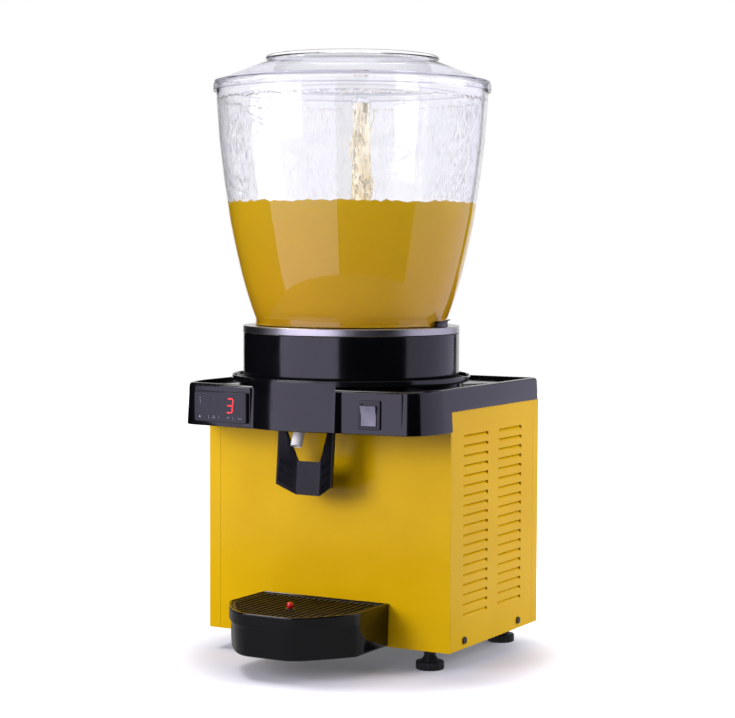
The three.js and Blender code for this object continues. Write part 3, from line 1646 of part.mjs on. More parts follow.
function dischargePipe() {
  const z = BASE_Z + CHASSIS_SHEET + 12 + COMPRESSOR_H;
  const y0 = FAN_Y - CONDENSER_W / 2;
  return bentRod(
    [
      vec(COMPRESSOR_X + 14, COMPRESSOR_Y, z + FIT),
      vec(COMPRESSOR_X + 14, COMPRESSOR_Y, z + 30),
      vec(COMPRESSOR_X + 50, COMPRESSOR_Y - 60, z + 80),
      vec(COMPRESSOR_X + 104, 24, z + 92),
      vec((CONDENSER_X0 + CONDENSER_X1) / 2 - 20, 17, z + 92),
      vec((CONDENSER_X0 + CONDENSER_X1) / 2, y0 - 9, CONDENSER_Z + 15 + CONDENSER_H + 6),
      vec((CONDENSER_X0 + CONDENSER_X1) / 2, y0 + 20, CONDENSER_Z + 15 + CONDENSER_H + 3.4),
    ],
    PIPE_R,
    22,
    6,
  );
}

function suctionPipe() {
  const z = BASE_Z + CHASSIS_SHEET + 12 + COMPRESSOR_H;
  const x = DRUM_R - DRUM_SHEET - SUCTION_R - FIT - 0.5;
  return bentRod(
    [
      vec(COMPRESSOR_X - 14, COMPRESSOR_Y, z + FIT),
      vec(COMPRESSOR_X - 14, COMPRESSOR_Y, z + 40),
      vec(COMPRESSOR_X + 10, COMPRESSOR_Y + 10, z + 95),
      vec(0, BOWL_Y + 40, z + 104),
      vec(x - 8, BOWL_Y + 6, z + 108),
      vec(x, BOWL_Y, COIL_TAIL_Z - 8),
      vec(x, BOWL_Y, COIL_TAIL_Z - FIT),
    ],
    SUCTION_R,
    22,
    6,
  );
}

// Assembly

const cabinet = new THREE.Group();
cabinet.position.set(0, FRONT_Y, 0);

cabinet.add(
  piece("chassis_frame", chassisFrame(), "zinc"),
  piece("deck_plate", deckPlate(), "zinc"),
  piece("front_panel", frontPanel(), "yellowPaint"),
  piece("left_side_panel", leftSidePanel(), "yellowPaint"),
  piece("right_side_panel", rightSidePanel(), "yellowPaint"),
  piece("back_panel", backPanel(), "yellowPaint"),
  piece("cable_gland", cableGland(), "blackMatt"),
  piece("top_cover", topCover(), "blackGloss"),
  piece("drip_gutter", dripGutter(), "blackGloss"),
  piece("bowl_collar", bowlCollar(), "blackGloss"),
  piece("insulation_ring", insulationRing(), "foam"),
  piece("steel_deck", steelDeck(), "steel"),
  piece("evaporator_drum", evaporatorDrum(), "steel"),
  piece("evaporator_coil", evaporatorCoil(), "copper"),
  piece("drum_gasket", drumGasket(), "greyRubber"),
  piece("bowl_clip_right", bowlClip(1), "blackGloss"),
  piece("bowl_clip_left", bowlClip(-1), "blackGloss"),
  piece("thermostat_housing", thermostatHousing(), "blackMatt"),
  piece("thermostat_window", thermostatWindow(), "smoked"),
  piece("switch_housing", switchHousing(), "blackMatt"),
);

// The rocker hangs on its own pivot, a little behind the bezel's face.
const rocker = piece("switch_rocker", switchRocker(), "grey");
cabinet.add(rocker);

cabinet.add(
  piece("pump_bracket", pumpBracket(), "zinc"),
  piece("pump_motor", pumpMotor(), "blackPaint"),
  piece("drive_magnet", driveMagnet(), "zinc"),
  piece("pump_impeller", pumpImpeller(), "blackMatt"),
  piece("pump_cover", pumpCover(), "clear"),
  piece("riser_tube", riserTube(), "clear"),
  piece("spray_nozzle", sprayNozzle(), "clear"),
  piece("bowl", bowl(), "clear"),
  piece("lid", lid(), "clear"),
  piece("outlet_seal", outletSeal(), "greyRubber"),
  piece("tap_hose", tapHose(), "silicone"),
  piece("tap_bracket", tapBracket(), "blackMatt"),
  piece("tap_pivot_pin", tapPivotPin(), "steel"),
  piece("tap_lever", tapLever(), "blackGloss"),
  piece("tap_spring", tapSpring(), "steel"),
  piece("tray_bracket", trayBracket(), "steel"),
  piece("drip_tray", dripTray(), "blackGloss"),
  piece("drip_grille", dripGrille(), "blackMatt"),
  piece("float_indicator", floatIndicator(), "red"),
  piece("compressor", compressor(), "blackPaint"),
  piece("compressor_mount_left", compressorMount(-1), "blackRubber"),
  piece("compressor_mount_right", compressorMount(1), "blackRubber"),
  piece("condenser", condenser(), "aluminium"),
  piece("fan_shroud", fanShroud(), "zinc"),
  piece("fan_motor", fanMotor(), "blackPaint"),
  piece("fan_blade", fanBlade(), "aluminium"),
  piece("filter_drier", filterDrier(), "copper"),
  piece("discharge_pipe", dischargePipe(), "copper"),
  piece("suction_pipe", suctionPipe(), "copper"),
);

for (const [end, y] of [["front", FOOT_FRONT_Y], ["rear", FOOT_REAR_Y]]) {
  cabinet.add(piece(`foot_${end}_left`, foot(-FOOT_X, y), "blackMatt"));
  cabinet.add(piece(`foot_${end}_right`, foot(FOOT_X, y), "blackMatt"));
}

for (const [side, name] of [[-1, "left"], [1, "right"]]) {
  cabinet.add(piece(`panel_screw_${name}_front`, panelScrew(side, SCREW_FRONT_Y), "blackPaint"));
  cabinet.add(piece(`panel_screw_${name}_rear`, panelScrew(side, SCREW_REAR_Y), "blackPaint"));
}

const dispenser = new THREE.Group();
dispenser.add(cabinet);

export default dispenser;
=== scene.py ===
# %% [markdown]
# A counter-top cold drink dispenser: a yellow casing with louvred sides, a glossy black cover with
# a round nose, a black column with a steel deck, and a clear bowl of orange drink under a lid.
# The CAD model comes in first as a frame. Round and glossy pieces are made again here with more
# steps, because a gloss shows every facet, and flat sheet parts keep their CAD shape.

import json
import math

import bmesh
import bpy
from mathutils import Matrix, Vector, noise


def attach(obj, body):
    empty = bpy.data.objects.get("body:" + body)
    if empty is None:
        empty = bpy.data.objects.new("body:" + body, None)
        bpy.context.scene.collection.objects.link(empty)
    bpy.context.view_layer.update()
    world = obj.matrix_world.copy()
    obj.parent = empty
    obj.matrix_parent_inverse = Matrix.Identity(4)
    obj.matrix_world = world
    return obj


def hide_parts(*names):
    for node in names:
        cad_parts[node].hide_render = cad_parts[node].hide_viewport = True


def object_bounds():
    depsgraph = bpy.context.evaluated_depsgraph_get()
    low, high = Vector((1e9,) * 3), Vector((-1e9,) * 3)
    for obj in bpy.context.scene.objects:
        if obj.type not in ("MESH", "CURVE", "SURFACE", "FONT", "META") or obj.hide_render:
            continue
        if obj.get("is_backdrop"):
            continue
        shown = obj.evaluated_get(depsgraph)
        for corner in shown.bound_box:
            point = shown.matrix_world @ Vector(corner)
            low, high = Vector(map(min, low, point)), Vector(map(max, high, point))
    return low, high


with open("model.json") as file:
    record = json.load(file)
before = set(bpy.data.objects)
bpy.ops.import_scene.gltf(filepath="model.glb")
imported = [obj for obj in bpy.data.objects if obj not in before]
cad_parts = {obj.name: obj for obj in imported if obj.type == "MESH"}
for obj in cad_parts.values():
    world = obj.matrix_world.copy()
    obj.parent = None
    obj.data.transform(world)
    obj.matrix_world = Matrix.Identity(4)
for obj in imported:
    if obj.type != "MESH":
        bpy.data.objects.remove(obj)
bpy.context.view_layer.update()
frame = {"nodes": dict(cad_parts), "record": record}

# %% [markdown]
# All sizes below are millimetres, as a maker would give them, and one factor turns them into
# Blender's metres. Two places are used everywhere: the front panel's face and the bowl's axis.

# %% Units and main places
MM = 0.001
PANEL_Y = -52.0  # the front panel's face
BOWL_Y = PANEL_Y + 57.0  # the bowl's axis
BOWL_FOOT = 386.9
BOWL_RIM = 662.9
JUICE_TOP = 527.0
RISER_Y = BOWL_Y + 22.0
OUTLET_Y = PANEL_Y - 43.0  # the bowl's outlet, above the tap
FLOAT_Y = PANEL_Y - 79.0
PIVOT_Y, PIVOT_Z = PANEL_Y - 33.0, 296.0  # the lever's pin
PINCH_Z = 284.0  # where the lever shuts the hose
print("panel at", PANEL_Y, "bowl axis at", BOWL_Y, "riser at", RISER_Y)

# %% [markdown]
# The camera stands where the photographer stood: a little to the right of the machine, almost
# level with it, with a long lens. Its three axes are worked out from three angles. Setting the
# matrix directly keeps the small roll that the photograph has.

# %% Camera
def put(name, data):
    """Puts a mesh, a light or a camera into the scene as an object."""
    made = bpy.data.objects.new(name, data)
    bpy.context.scene.collection.objects.link(made)
    return made


def camera_at(place, azimuth, down, roll, lens):
    """A camera in metres that looks along azimuth, turned down and rolled, all in degrees."""
    a, d, r = map(math.radians, (azimuth, down, roll))
    ahead = Vector((-math.sin(a) * math.cos(d), math.cos(a) * math.cos(d), -math.sin(d)))
    right = Vector((math.cos(a), math.sin(a), 0))
    up = right.cross(ahead)
    turned_right = right * math.cos(r) + up * math.sin(r)
    turned_up = up * math.cos(r) - right * math.sin(r)
    data = bpy.data.cameras.new("camera")
    data.lens = lens
    data.sensor_width = 36
    made = put("camera", data)
    turn = Matrix((turned_right, turned_up, -ahead)).transposed().to_4x4()
    made.matrix_world = Matrix.Translation(place) @ turn
    return made


camera = camera_at((1.1648, -2.0347, 0.4817), azimuth=29.2682, down=3.2944, roll=0.257, lens=98.65)
bpy.context.scene.camera = camera
print("camera", [round(v, 3) for v in camera.location])

# %% [markdown]
# A finish is a material with one main shader. Whatever is the same all over is set on the shader's
# own sockets. What changes over the surface comes from nodes, and one small function adds a node
# with its settings and links. Colours are written as a painter would pick them, in sRGB hex.

# %% Colours and nodes
def linear(code):
    """The linear colour of an sRGB hex code such as #DFB11E."""
    parts = [int(code[i : i + 2], 16) / 255 for i in (1, 3, 5)]
    return [c / 12.92 if c <= 0.04045 else ((c + 0.055) / 1.055) ** 2.4 for c in parts] + [1.0]


def new_finish(name, **values):
    """A material whose main shader has the values that are the same all over."""
    made = bpy.data.materials.new(name)
    made.use_nodes = True
    shader = made.node_tree.nodes["Principled BSDF"]
    for key, value in values.items():
        shader.inputs[key.replace("_", " ")].default_value = value
    return made


def add(made, kind, wires=None, **settings):
    """Adds one node. settings are its properties, and wires its inputs: values or other sockets."""
    node = made.node_tree.nodes.new("ShaderNode" + kind)
    for key, value in settings.items():
        setattr(node, key, value)
    for key, value in (wires or {}).items():
        if isinstance(value, bpy.types.NodeSocket):
            made.node_tree.links.new(value, node.inputs[key])
        else:
            node.inputs[key].default_value = value
    return node


def feed(made, socket, value):
    """Leads a node's output into a socket of a finish's main shader."""
    made.node_tree.links.new(value, made.node_tree.nodes["Principled BSDF"].inputs[socket])


def per(millimetres):
    """The noise scale that gives lumps of that size, since object coordinates are metres."""
    return 1.0 / (millimetres * MM)


print("orange in linear light:", [round(v, 3) for v in linear("#DFB11E")])

# %% [markdown]
# Most surfaces need the same three things: a colour that drifts a little, a roughness that is
# smudged by hands and cloths, and a fine relief from the way the surface was made. One function
# wires them from object coordinates, so that the pattern travels with the piece when it moves.

# %% Drift, smudges and relief
def weathered(name, dark, light, drift_mm, rough, smudge_mm, relief_mm, relief, stretch=(1, 1, 1), **values):
    """A finish with a drifting colour, smudged roughness and fine relief. values go to its shader."""
    made = new_finish(name, **values)
    place = add(made, "TexCoord").outputs["Object"]
    drift = add(made, "TexNoise", {"Vector": place, "Scale": per(drift_mm), "Detail": 3.0})
    tint = add(made, "ValToRGB", {"Fac": drift.outputs["Fac"]})
    for stop, position, code in zip(tint.color_ramp.elements, (0.35, 0.65), (dark, light)):
        stop.position = position
        stop.color = linear(code)
    feed(made, "Base Color", tint.outputs["Color"])
    smudge = add(made, "TexNoise", {"Vector": place, "Scale": per(smudge_mm), "Detail": 5.0})
    sizes = {"From Min": 0.3, "From Max": 0.7, "To Min": rough[0], "To Max": rough[1]}
    level = add(made, "MapRange", {"Value": smudge.outputs["Fac"], **sizes})
    feed(made, "Roughness", level.outputs["Result"])
    pulled = add(made, "Mapping", {"Vector": place, "Scale": stretch}).outputs["Vector"]
    grain = add(made, "TexNoise", {"Vector": pulled, "Scale": per(relief_mm), "Detail": 2.0})
    bump = add(made, "Bump", {"Height": grain.outputs["Fac"], "Strength": relief, "Distance": 0.0005})
    feed(made, "Normal", bump.outputs["Normal"])
    return made


print("weathered finishes ready")

# %% [markdown]
# The casing is zinc-coated steel sheet under a glossy yellow powder coat. Powder melts into a film
# with a slight orange peel about a millimetre or two across. Seen from the front it mirrors
# little, and seen along the side it mirrors a good deal, so the side looks paler.

# %% Powder-coated sheet
coated_sheet = weathered(
    "powder_coated_sheet", "#DFB006", "#E5B70B", 90, (0.1, 0.2), 45, 1.6, 0.04,
    IOR=1.5, Specular_IOR_Level=0.1
)
print("made", coated_sheet.name)

# %% [markdown]
# Cover, collar, gutter and tray are injection-moulded ABS from a polished mould: nearly mirror
# black, with a faint waviness of about a centimetre where the plastic shrank. The lever, the
# grille and the clips come from an etched mould, so they look satin.

# %% Glossy and satin ABS
gloss_abs = weathered("gloss_black_ABS", "#08080A", "#0C0C0F", 60, (0.09, 0.17), 35, 14, 0.05, IOR=1.53)
satin_abs = weathered("satin_black_ABS", "#141416", "#1B1B1E", 30, (0.34, 0.46), 25, 0.7, 0.12, IOR=1.53)
lever_abs = weathered(
    "etched_lever_ABS", "#0C0C0F", "#111114", 30, (0.24, 0.32), 25, 0.9, 0.08,
    IOR=1.53, Specular_IOR_Level=0.27
)
print("made", gloss_abs.name, satin_abs.name, lever_abs.name)

# %% [markdown]
# The bowl and the lid are clear polycarbonate, 3 and 2 mm thick. Clear plastic is only as good as
# its wall: both faces are modelled, so the light bends at each of them. Inside the bowl the drink
# that was sprayed up has run down the wall, which shows as upright streaks above the surface.

# %% Polycarbonate
def clear_finish(name, tint, rough, ior):
    return new_finish(name, Base_Color=linear(tint), Roughness=rough, IOR=ior, Transmission_Weight=1.0)


def painted_edge_shade(made, clear, edge, start):
    """Painted shade: a colour that deepens where the wall is seen edge on."""
    slant = add(made, "LayerWeight", {"Blend": 0.5})
    tint = add(made, "ValToRGB", {"Fac": slant.outputs["Facing"]})
    tint.color_ramp.elements[0].position = start
    tint.color_ramp.elements[0].color = linear(clear)
    tint.color_ramp.elements[1].color = linear(edge)
    return tint.outputs["Color"]


print("edge tint ready")

# %% [markdown]
# Droplets and streaks are too thin to model, so they are patterns in the bowl's finish. Each one is limited
# by smooth steps: below the rim, above the drink, in patches, and stronger where the wall is seen at a slant.
# The streaks' dark grey is partly drink residue and partly painted shade, and the slant step is painted shade
# that darkens them towards the bowl's outline. A tide line of small beads marks how high the splashes reach.

# %% Clear bowl with its streaks
bowl_clear = clear_finish("polycarbonate_bowl", "#F6F6F9", 0.01, 1.45)
place = add(bowl_clear, "TexCoord").outputs["Object"]
height = add(bowl_clear, "SeparateXYZ", {"Vector": place}).outputs["Z"]
pulled = add(bowl_clear, "Mapping", {"Vector": place, "Scale": (1.0, 1.0, 0.16)}).outputs["Vector"]
runs = add(bowl_clear, "TexNoise", {"Vector": pulled, "Scale": per(1.8), "Detail": 1.0, "Distortion": 0.5})
patches = add(bowl_clear, "TexNoise", {"Vector": place, "Scale": per(38), "Detail": 2.0})
slant = add(bowl_clear, "LayerWeight", {"Blend": 0.5})
wander = add(bowl_clear, "TexNoise", {"Vector": place, "Scale": per(9), "Detail": 3.0}).outputs["Fac"]
line = add(bowl_clear, "MapRange", {"Value": wander, "To Min": 0.6395, "To Max": 0.6525}).outputs["Result"]
away = add(bowl_clear, "Math", {0: height, 1: line}, operation="SUBTRACT").outputs["Value"]
away = add(bowl_clear, "Math", {0: away}, operation="ABSOLUTE").outputs["Value"]
beads = add(bowl_clear, "TexNoise", {"Vector": place, "Scale": per(5), "Detail": 2.0})

STEPS = {  # a value, where it starts and stops to matter, and the share before and after
    "below the rim": (height, 0.646, 0.636, 0.0, 1.0),
    "patches": (patches.outputs["Fac"], 0.36, 0.6, 0.35, 1.0),
    "runs": (runs.outputs["Fac"], 0.61, 0.635, 0.0, 1.0),
    "above the drink": (height, 0.529, 0.533, 0.0, 1.0),
    # The slant step is painted shade: it makes the streaks darker towards the bowl's outline.
    "slant": (slant.outputs["Facing"], 0.1, 0.75, 0.14, 1.0),
    "tide line": (away, 0.0011, 0.0003, 0.0, 1.0),
    "beads": (beads.outputs["Fac"], 0.42, 0.55, 0.0, 1.0),
}
share = {}
for name, (value, first, last, low, high) in STEPS.items():
    sizes = {"Value": value, "From Min": first, "From Max": last, "To Min": low, "To Max": high}
    share[name] = add(bowl_clear, "MapRange", sizes, interpolation_type="SMOOTHSTEP").outputs["Result"]
wet = add(bowl_clear, "Math", {0: share["below the rim"], 1: share["patches"]}, operation="MULTIPLY")
streaks_and_painted_shade = share["runs"]
for other in (wet.outputs["Value"], share["above the drink"], share["slant"]):
    streaks_and_painted_shade = add(bowl_clear, "Math", {0: streaks_and_painted_shade, 1: other}, operation="MULTIPLY").outputs["Value"]
tide = add(bowl_clear, "Math", {0: share["tide line"], 1: share["beads"]}, operation="MULTIPLY")
tide = tide.outputs["Value"]

# Painted shade: the clear tint greys where the wall is seen edge on, and the streaks' dark grey is partly
# drink residue and partly painted shade. The tide line is a real stain.
colour = painted_edge_shade(bowl_clear, "#F6F6F9", "#DDDCE6", 0.55)
for mask, strength, code in ((streaks_and_painted_shade, 0.85, "#65625E"), (tide, 0.42, "#9A8360")):
    mask = add(bowl_clear, "Math", {0: mask, 1: strength}, operation="MULTIPLY").outputs["Value"]
    tinted = add(bowl_clear, "MixRGB", {"Fac": mask, "Color1": colour, "Color2": linear(code)})
    colour = tinted.outputs["Color"]
feed(bowl_clear, "Base Color", colour)
film = add(bowl_clear, "Math", {0: streaks_and_painted_shade, 1: tide}, operation="ADD").outputs["Value"]
bump = add(bowl_clear, "Bump", {"Height": film, "Strength": 0.4, "Distance": 0.001})
feed(bowl_clear, "Normal", bump.outputs["Normal"])
print("nodes of the bowl's finish:", len(bowl_clear.node_tree.nodes))

# %% [markdown]
# The lid is thinner than the bowl and hardly bends the light, so its tint carries painted shade instead: it
# turns grey violet where the wall is seen edge on, and two rolled beads in its skirt get darker bands of
# painted shade.

# %% Clear lid with its beads
BEAD_EDGE = 0.0005  # how softly a bead's tint starts and stops, in metres
lid_clear = clear_finish("polycarbonate_lid", "#FBFBFE", 0.02, 1.13)
place = add(lid_clear, "TexCoord").outputs["Object"]
# Painted shade: the lid's tint turns grey violet where it is seen edge on.
colour = painted_edge_shade(lid_clear, "#FCFCFE", "#B4B3CB", 0.55)
height = add(lid_clear, "SeparateXYZ", {"Vector": place}).outputs["Z"]
# Painted shade: two darker grey-violet bands at the heights of the skirt's beads.
for low, high, mask in ((0.6645, 0.6682, 0.5), (0.6556, 0.6574, 0.35)):
    for first, last in ((low - BEAD_EDGE, low), (high + BEAD_EDGE, high)):
        sizes = {"Value": height, "From Min": first, "From Max": last}
        edge = add(lid_clear, "MapRange", sizes, interpolation_type="SMOOTHSTEP").outputs["Result"]
        mask = add(lid_clear, "Math", {0: edge, 1: mask}, operation="MULTIPLY").outputs["Value"]
    tinted = add(lid_clear, "MixRGB", {"Fac": mask, "Color1": colour, "Color2": linear("#8F8DA8")})
    colour = tinted.outputs["Color"]
feed(lid_clear, "Base Color", colour)
flow = add(lid_clear, "TexNoise", {"Vector": place, "Scale": per(30), "Detail": 2.0})
bump = add(lid_clear, "Bump", {"Height": flow.outputs["Fac"], "Strength": 0.1, "Distance": 0.001})
feed(lid_clear, "Normal", bump.outputs["Normal"])
print("nodes of the lid's finish:", len(lid_clear.node_tree.nodes))

# %% [markdown]
# The deck under the bowl is polished stainless steel that was finished on a lathe, so its hairline
# marks run round it. They are a tenth of a millimetre apart on the real one, and drawn at three
# tenths here so that they show at all. The sheet, tube and fins inside the casing get plainer
# finishes of their own.

# %% Metals
stainless = weathered(
    "polished_stainless_steel", "#B9B8B7", "#C6C5C4", 40, (0.28, 0.38), 30, 0.3, 0.06, (0.02, 0.02, 1.0),
    Metallic=1.0
)
zinc_sheet = weathered("zinc_plated_sheet", "#9EA2A6", "#C2C6CA", 9, (0.32, 0.48), 12, 5, 0.06, Metallic=1.0)
copper_tube = weathered(
    "drawn_copper_tube", "#9C5A38", "#C98862", 14, (0.24, 0.42), 18, 0.5, 0.05, (1, 1, 0.1), Metallic=1.0
)
bare_aluminium = weathered(
    "bare_aluminium", "#B4B6B9", "#CFD1D4", 16, (0.3, 0.44), 15, 0.6, 0.06, Metallic=1.0
)
stove_enamel = weathered(
    "black_stove_enamel", "#0D0D0F", "#16161A", 35, (0.28, 0.4), 20, 1.2, 0.1,
    IOR=1.5, Coat_Weight=0.2, Coat_Roughness=0.2
)
print("made", stainless.name, zinc_sheet.name, copper_tube.name, bare_aluminium.name, stove_enamel.name)

# %% [markdown]
# Rubber, silicone and foam scatter light rather than mirror it. The tap hose is white silicone that
# lets some light through, which a little subsurface scattering gives.

# %% Rubber, silicone and foam
black_rubber = weathered("moulded_black_rubber", "#0C0C0C", "#141413", 8, (0.5, 0.66), 10, 0.5, 0.15, IOR=1.5)
grey_rubber = weathered("moulded_grey_rubber", "#55585C", "#64676B", 8, (0.55, 0.7), 10, 0.6, 0.15, IOR=1.5)
silicone = weathered(
    "translucent_silicone", "#E9E7E1", "#F3F1EC", 9, (0.3, 0.42), 8, 1.5, 0.08,
    IOR=1.41, Subsurface_Weight=0.6, Subsurface_Radius=(0.006, 0.006, 0.005)
)
urethane_foam = weathered("rigid_urethane_foam", "#E3D9A8", "#EFE7C4", 5, (0.8, 0.95), 6, 0.8, 0.5, IOR=1.4)
print("made", black_rubber.name, grey_rubber.name, silicone.name, urethane_foam.name)

# %% [markdown]
# Small coloured mouldings: the smoked window of the thermostat, its red figures, the grey rocker
# and the red float ball. The figures glow, as light-emitting segments do.

# %% Small coloured mouldings
smoked_lens = weathered("smoked_acrylic_lens", "#0E0D12", "#141319", 20, (0.05, 0.1), 20, 12, 0.03, IOR=1.45)
ghost_segment = weathered("unlit_segment", "#17161B", "#1C1A20", 4, (0.1, 0.16), 5, 1, 0.03, IOR=1.49)
lit_segment = weathered(
    "lit_red_segment", "#E0201A", "#FF3028", 2, (0.3, 0.4), 3, 1, 0.03,
    IOR=1.49, Emission_Color=linear("#FF3038"), Emission_Strength=1.0
)
rocker_plastic = weathered(
    "grey_rocker_polycarbonate", "#787683", "#85838F", 12, (0.14, 0.22), 12, 6, 0.05, IOR=1.58
)
red_ball = weathered(
    "red_polystyrene", "#C3121A", "#D61C20", 6, (0.12, 0.22), 6, 3, 0.04,
    IOR=1.59, Coat_Weight=0.4, Coat_Roughness=0.05
)
printed_white = weathered("screen_printed_ink", "#8C8B99", "#A5A4B2", 4, (0.4, 0.5), 5, 0.5, 0.05, IOR=1.5)
print("made", smoked_lens.name, lit_segment.name, rocker_plastic.name, red_ball.name)

# %% [markdown]
# The drink is orange juice: cloudy, so light enters a few millimetres, spreads and comes out again. Its
# colour is a little lighter higher up and a little darker and browner towards the bottom.

# %% Orange drink
drink = new_finish(
    "orange_drink", Roughness=0.35, IOR=1.2, Subsurface_Weight=0.12, Subsurface_Radius=(0.006, 0.004, 0.001)
)
place = add(drink, "TexCoord").outputs["Object"]
height = add(drink, "SeparateXYZ", {"Vector": place}).outputs["Z"]
cloud = add(drink, "TexNoise", {"Vector": place, "Scale": per(55), "Detail": 4.0}).outputs["Fac"]
swirl = add(drink, "Math", {0: cloud, 1: 0.05}, operation="MULTIPLY").outputs["Value"]
level = add(drink, "Math", {0: height, 1: swirl}, operation="ADD").outputs["Value"]
depth = add(drink, "MapRange", {"Value": level, "From Min": 0.41, "From Max": 0.555})
shades = add(drink, "ValToRGB", {"Fac": depth.outputs["Result"]})
shades.color_ramp.elements[0].color = linear("#B98F03")
shades.color_ramp.elements[1].color = linear("#BC9908")
feed(drink, "Base Color", shades.outputs["Color"])
print("nodes of the drink:", len(drink.node_tree.nodes))

# %% [markdown]
# The drink that runs down round the riser is full of air, so it is paler and foamy. A noise that is
# pulled along the fall opens clear gaps in it, and the same ripple gives its colour and its relief.

# %% Running drink
# A faint emission brightens the running drink: painted light, since the drink is no lamp.
stream_finish = new_finish(
    "running_drink", Base_Color=linear("#EFE9D4"), Roughness=0.15, IOR=1.2,
    Emission_Color=linear("#FFF6DC"), Emission_Strength=0.04,
)
place = add(stream_finish, "TexCoord").outputs["Object"]
ripple = add(stream_finish, "TexNoise", {"Vector": place, "Scale": per(7), "Detail": 3.0})
tint = add(stream_finish, "ValToRGB", {"Fac": ripple.outputs["Fac"]})
tint.color_ramp.elements[0].color = linear("#E9E2C9")
tint.color_ramp.elements[1].color = linear("#F6F2E2")
feed(stream_finish, "Base Color", tint.outputs["Color"])
pulled = add(stream_finish, "Mapping", {"Vector": place, "Scale": (1.0, 1.0, 0.4)}).outputs["Vector"]
sizes = {"Vector": pulled, "Scale": per(5), "Detail": 2.0, "Distortion": 0.8}
gaps = add(stream_finish, "TexNoise", sizes).outputs["Fac"]
sizes = {"Value": gaps, "From Min": 0.52, "From Max": 0.6, "To Min": 0.1, "To Max": 0.75}
clear = add(stream_finish, "MapRange", sizes, interpolation_type="SMOOTHSTEP")
feed(stream_finish, "Transmission Weight", clear.outputs["Result"])
bump = add(stream_finish, "Bump", {"Height": ripple.outputs["Fac"], "Strength": 0.5, "Distance": 0.001})
feed(stream_finish, "Normal", bump.outputs["Normal"])
print("finishes:", len(bpy.data.materials))

# %% [markdown]
# Every piece is built the same way: points and faces in millimetres become a mesh, the mesh gets its finish,
# edges sharper than a set angle stay crisp while the rest is shaded smooth, the piece is attached to the body
# it rides on, and the CAD nodes it stands for are hidden.

# %% From points to a piece
def closed_mesh(name, parts):
    """A mesh from (points, faces) parts in millimetres, with its seams joined and normals outward."""
    mesh = bpy.data.meshes.new(name)
    points, faces = [], []
    for part_points, part_faces in parts:
        start = len(points)
        points += [(x * MM, y * MM, z * MM) for x, y, z in part_points]
        faces += [[start + i for i in face] for face in part_faces]
    mesh.from_pydata(points, [], faces)
    work = bmesh.new()
    work.from_mesh(mesh)
    bmesh.ops.remove_doubles(work, verts=work.verts, dist=1e-6)
    bmesh.ops.recalc_face_normals(work, faces=work.faces)
    work.to_mesh(mesh)
    work.free()
    return mesh


def shade(mesh, crease):
    """Smooth shading with crisp edges where two faces meet at more than an angle in degrees."""
    mesh.shade_smooth()
    mesh.set_sharp_from_angle(angle=math.radians(crease))


def build(name, parts, finish, body, stands_for=(), crease=32, bevel=0.0):
    """One piece with its finish, its rounded edges, its body and the CAD nodes it stands for."""
    made = put(name, closed_mesh(name, parts))
    made.data.materials.append(finish)
    if bevel:
        round_edges(made, bevel)
    shade(made.data, crease)
    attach(made, body)
    if stands_for:
        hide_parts(*stands_for)
    return made


def round_edges(made, width, angle=34, segments=3):
    """A small rounded edge, as every moulded or pressed part has."""
    edge = made.modifiers.new("rounded_edge", "BEVEL")
    edge.width = width * MM
    edge.segments = segments
    edge.limit_method = "ANGLE"
    edge.angle_limit = math.radians(angle)
    edge.harden_normals = True
    edge.use_clamp_overlap = True


print("build ready")

# %% [markdown]
# Three ways of making a shape cover nearly all of the machine. Lathe turns a profile round an
# axis, loft joins outlines at different heights, and slab gives a flat outline a thickness.
# Corners are rounded in the outline itself, which keeps the meshes even.

# %% Outline, lathe, loft and slab
def soften(corners, closed=True, steps=5):
    """Rounds the corners of an outline: a corner (a, b, r) becomes an arc of radius r."""
    line = []
    count = len(corners)
    for i, corner in enumerate(corners):
        here = Vector(corner[:2])
        radius = corner[2] if len(corner) > 2 else 0
        if radius == 0 or (not closed and i in (0, count - 1)):
            line.append(tuple(here))
            continue
        back = Vector(corners[i - 1][:2]) - here
        ahead = Vector(corners[(i + 1) % count][:2]) - here
        half = back.angle(ahead) / 2
        reach = min(radius / math.tan(half), back.length * 0.49, ahead.length * 0.49)
        radius = reach * math.tan(half)
        middle = here + (back.normalized() + ahead.normalized()).normalized() * radius / math.sin(half)
        start = here + back.normalized() * reach - middle
        end = here + ahead.normalized() * reach - middle
        first = math.atan2(start.y, start.x)
        sweep = math.atan2(start.x * end.y - start.y * end.x, start.dot(end))
        for k in range(steps + 1):
            a = first + sweep * k / steps
            line.append((middle.x + radius * math.cos(a), middle.y + radius * math.sin(a)))
    return line


def lathe(profile, centre=(0.0, BOWL_Y), steps=144, closed=True, sector=None):
    """Turns a profile of (radius, height) round an upright axis, all the way or over a sector."""
    first, last = sector or (0, 360)
    turns = steps if sector is None else steps + 1
    points, faces = [], []
    for k in range(turns):
        a = math.radians(first + (last - first) * k / steps)
        points += [(centre[0] + r * math.cos(a), centre[1] + r * math.sin(a), z) for r, z in profile]
    n = len(profile)
    for k in range(steps):
        here, there = k * n, ((k + 1) % turns) * n
        for i in range(n if closed else n - 1):
            j = (i + 1) % n
            faces.append([here + i, there + i, there + j, here + j])
    if sector:
        faces.append(list(range(n)))
        faces.append(list(range(steps * n, steps * n + n)))
    return points, faces


def loft(rings, caps=(True, True), loop=False):
    """Joins outlines of equal length, each a list of (x, y, z)."""
    n = len(rings[0])
    points = [p for ring in rings for p in ring]
    faces = []
    for k in range(len(rings) if loop else len(rings) - 1):
        here, there = k * n, ((k + 1) % len(rings)) * n
        for i in range(n):
            j = (i + 1) % n
            faces.append([here + i, here + j, there + j, there + i])
    if caps[0] and not loop:
        faces.append(list(range(n)))
    if caps[1] and not loop:
        faces.append(list(range((len(rings) - 1) * n, len(rings) * n)))
    return points, faces


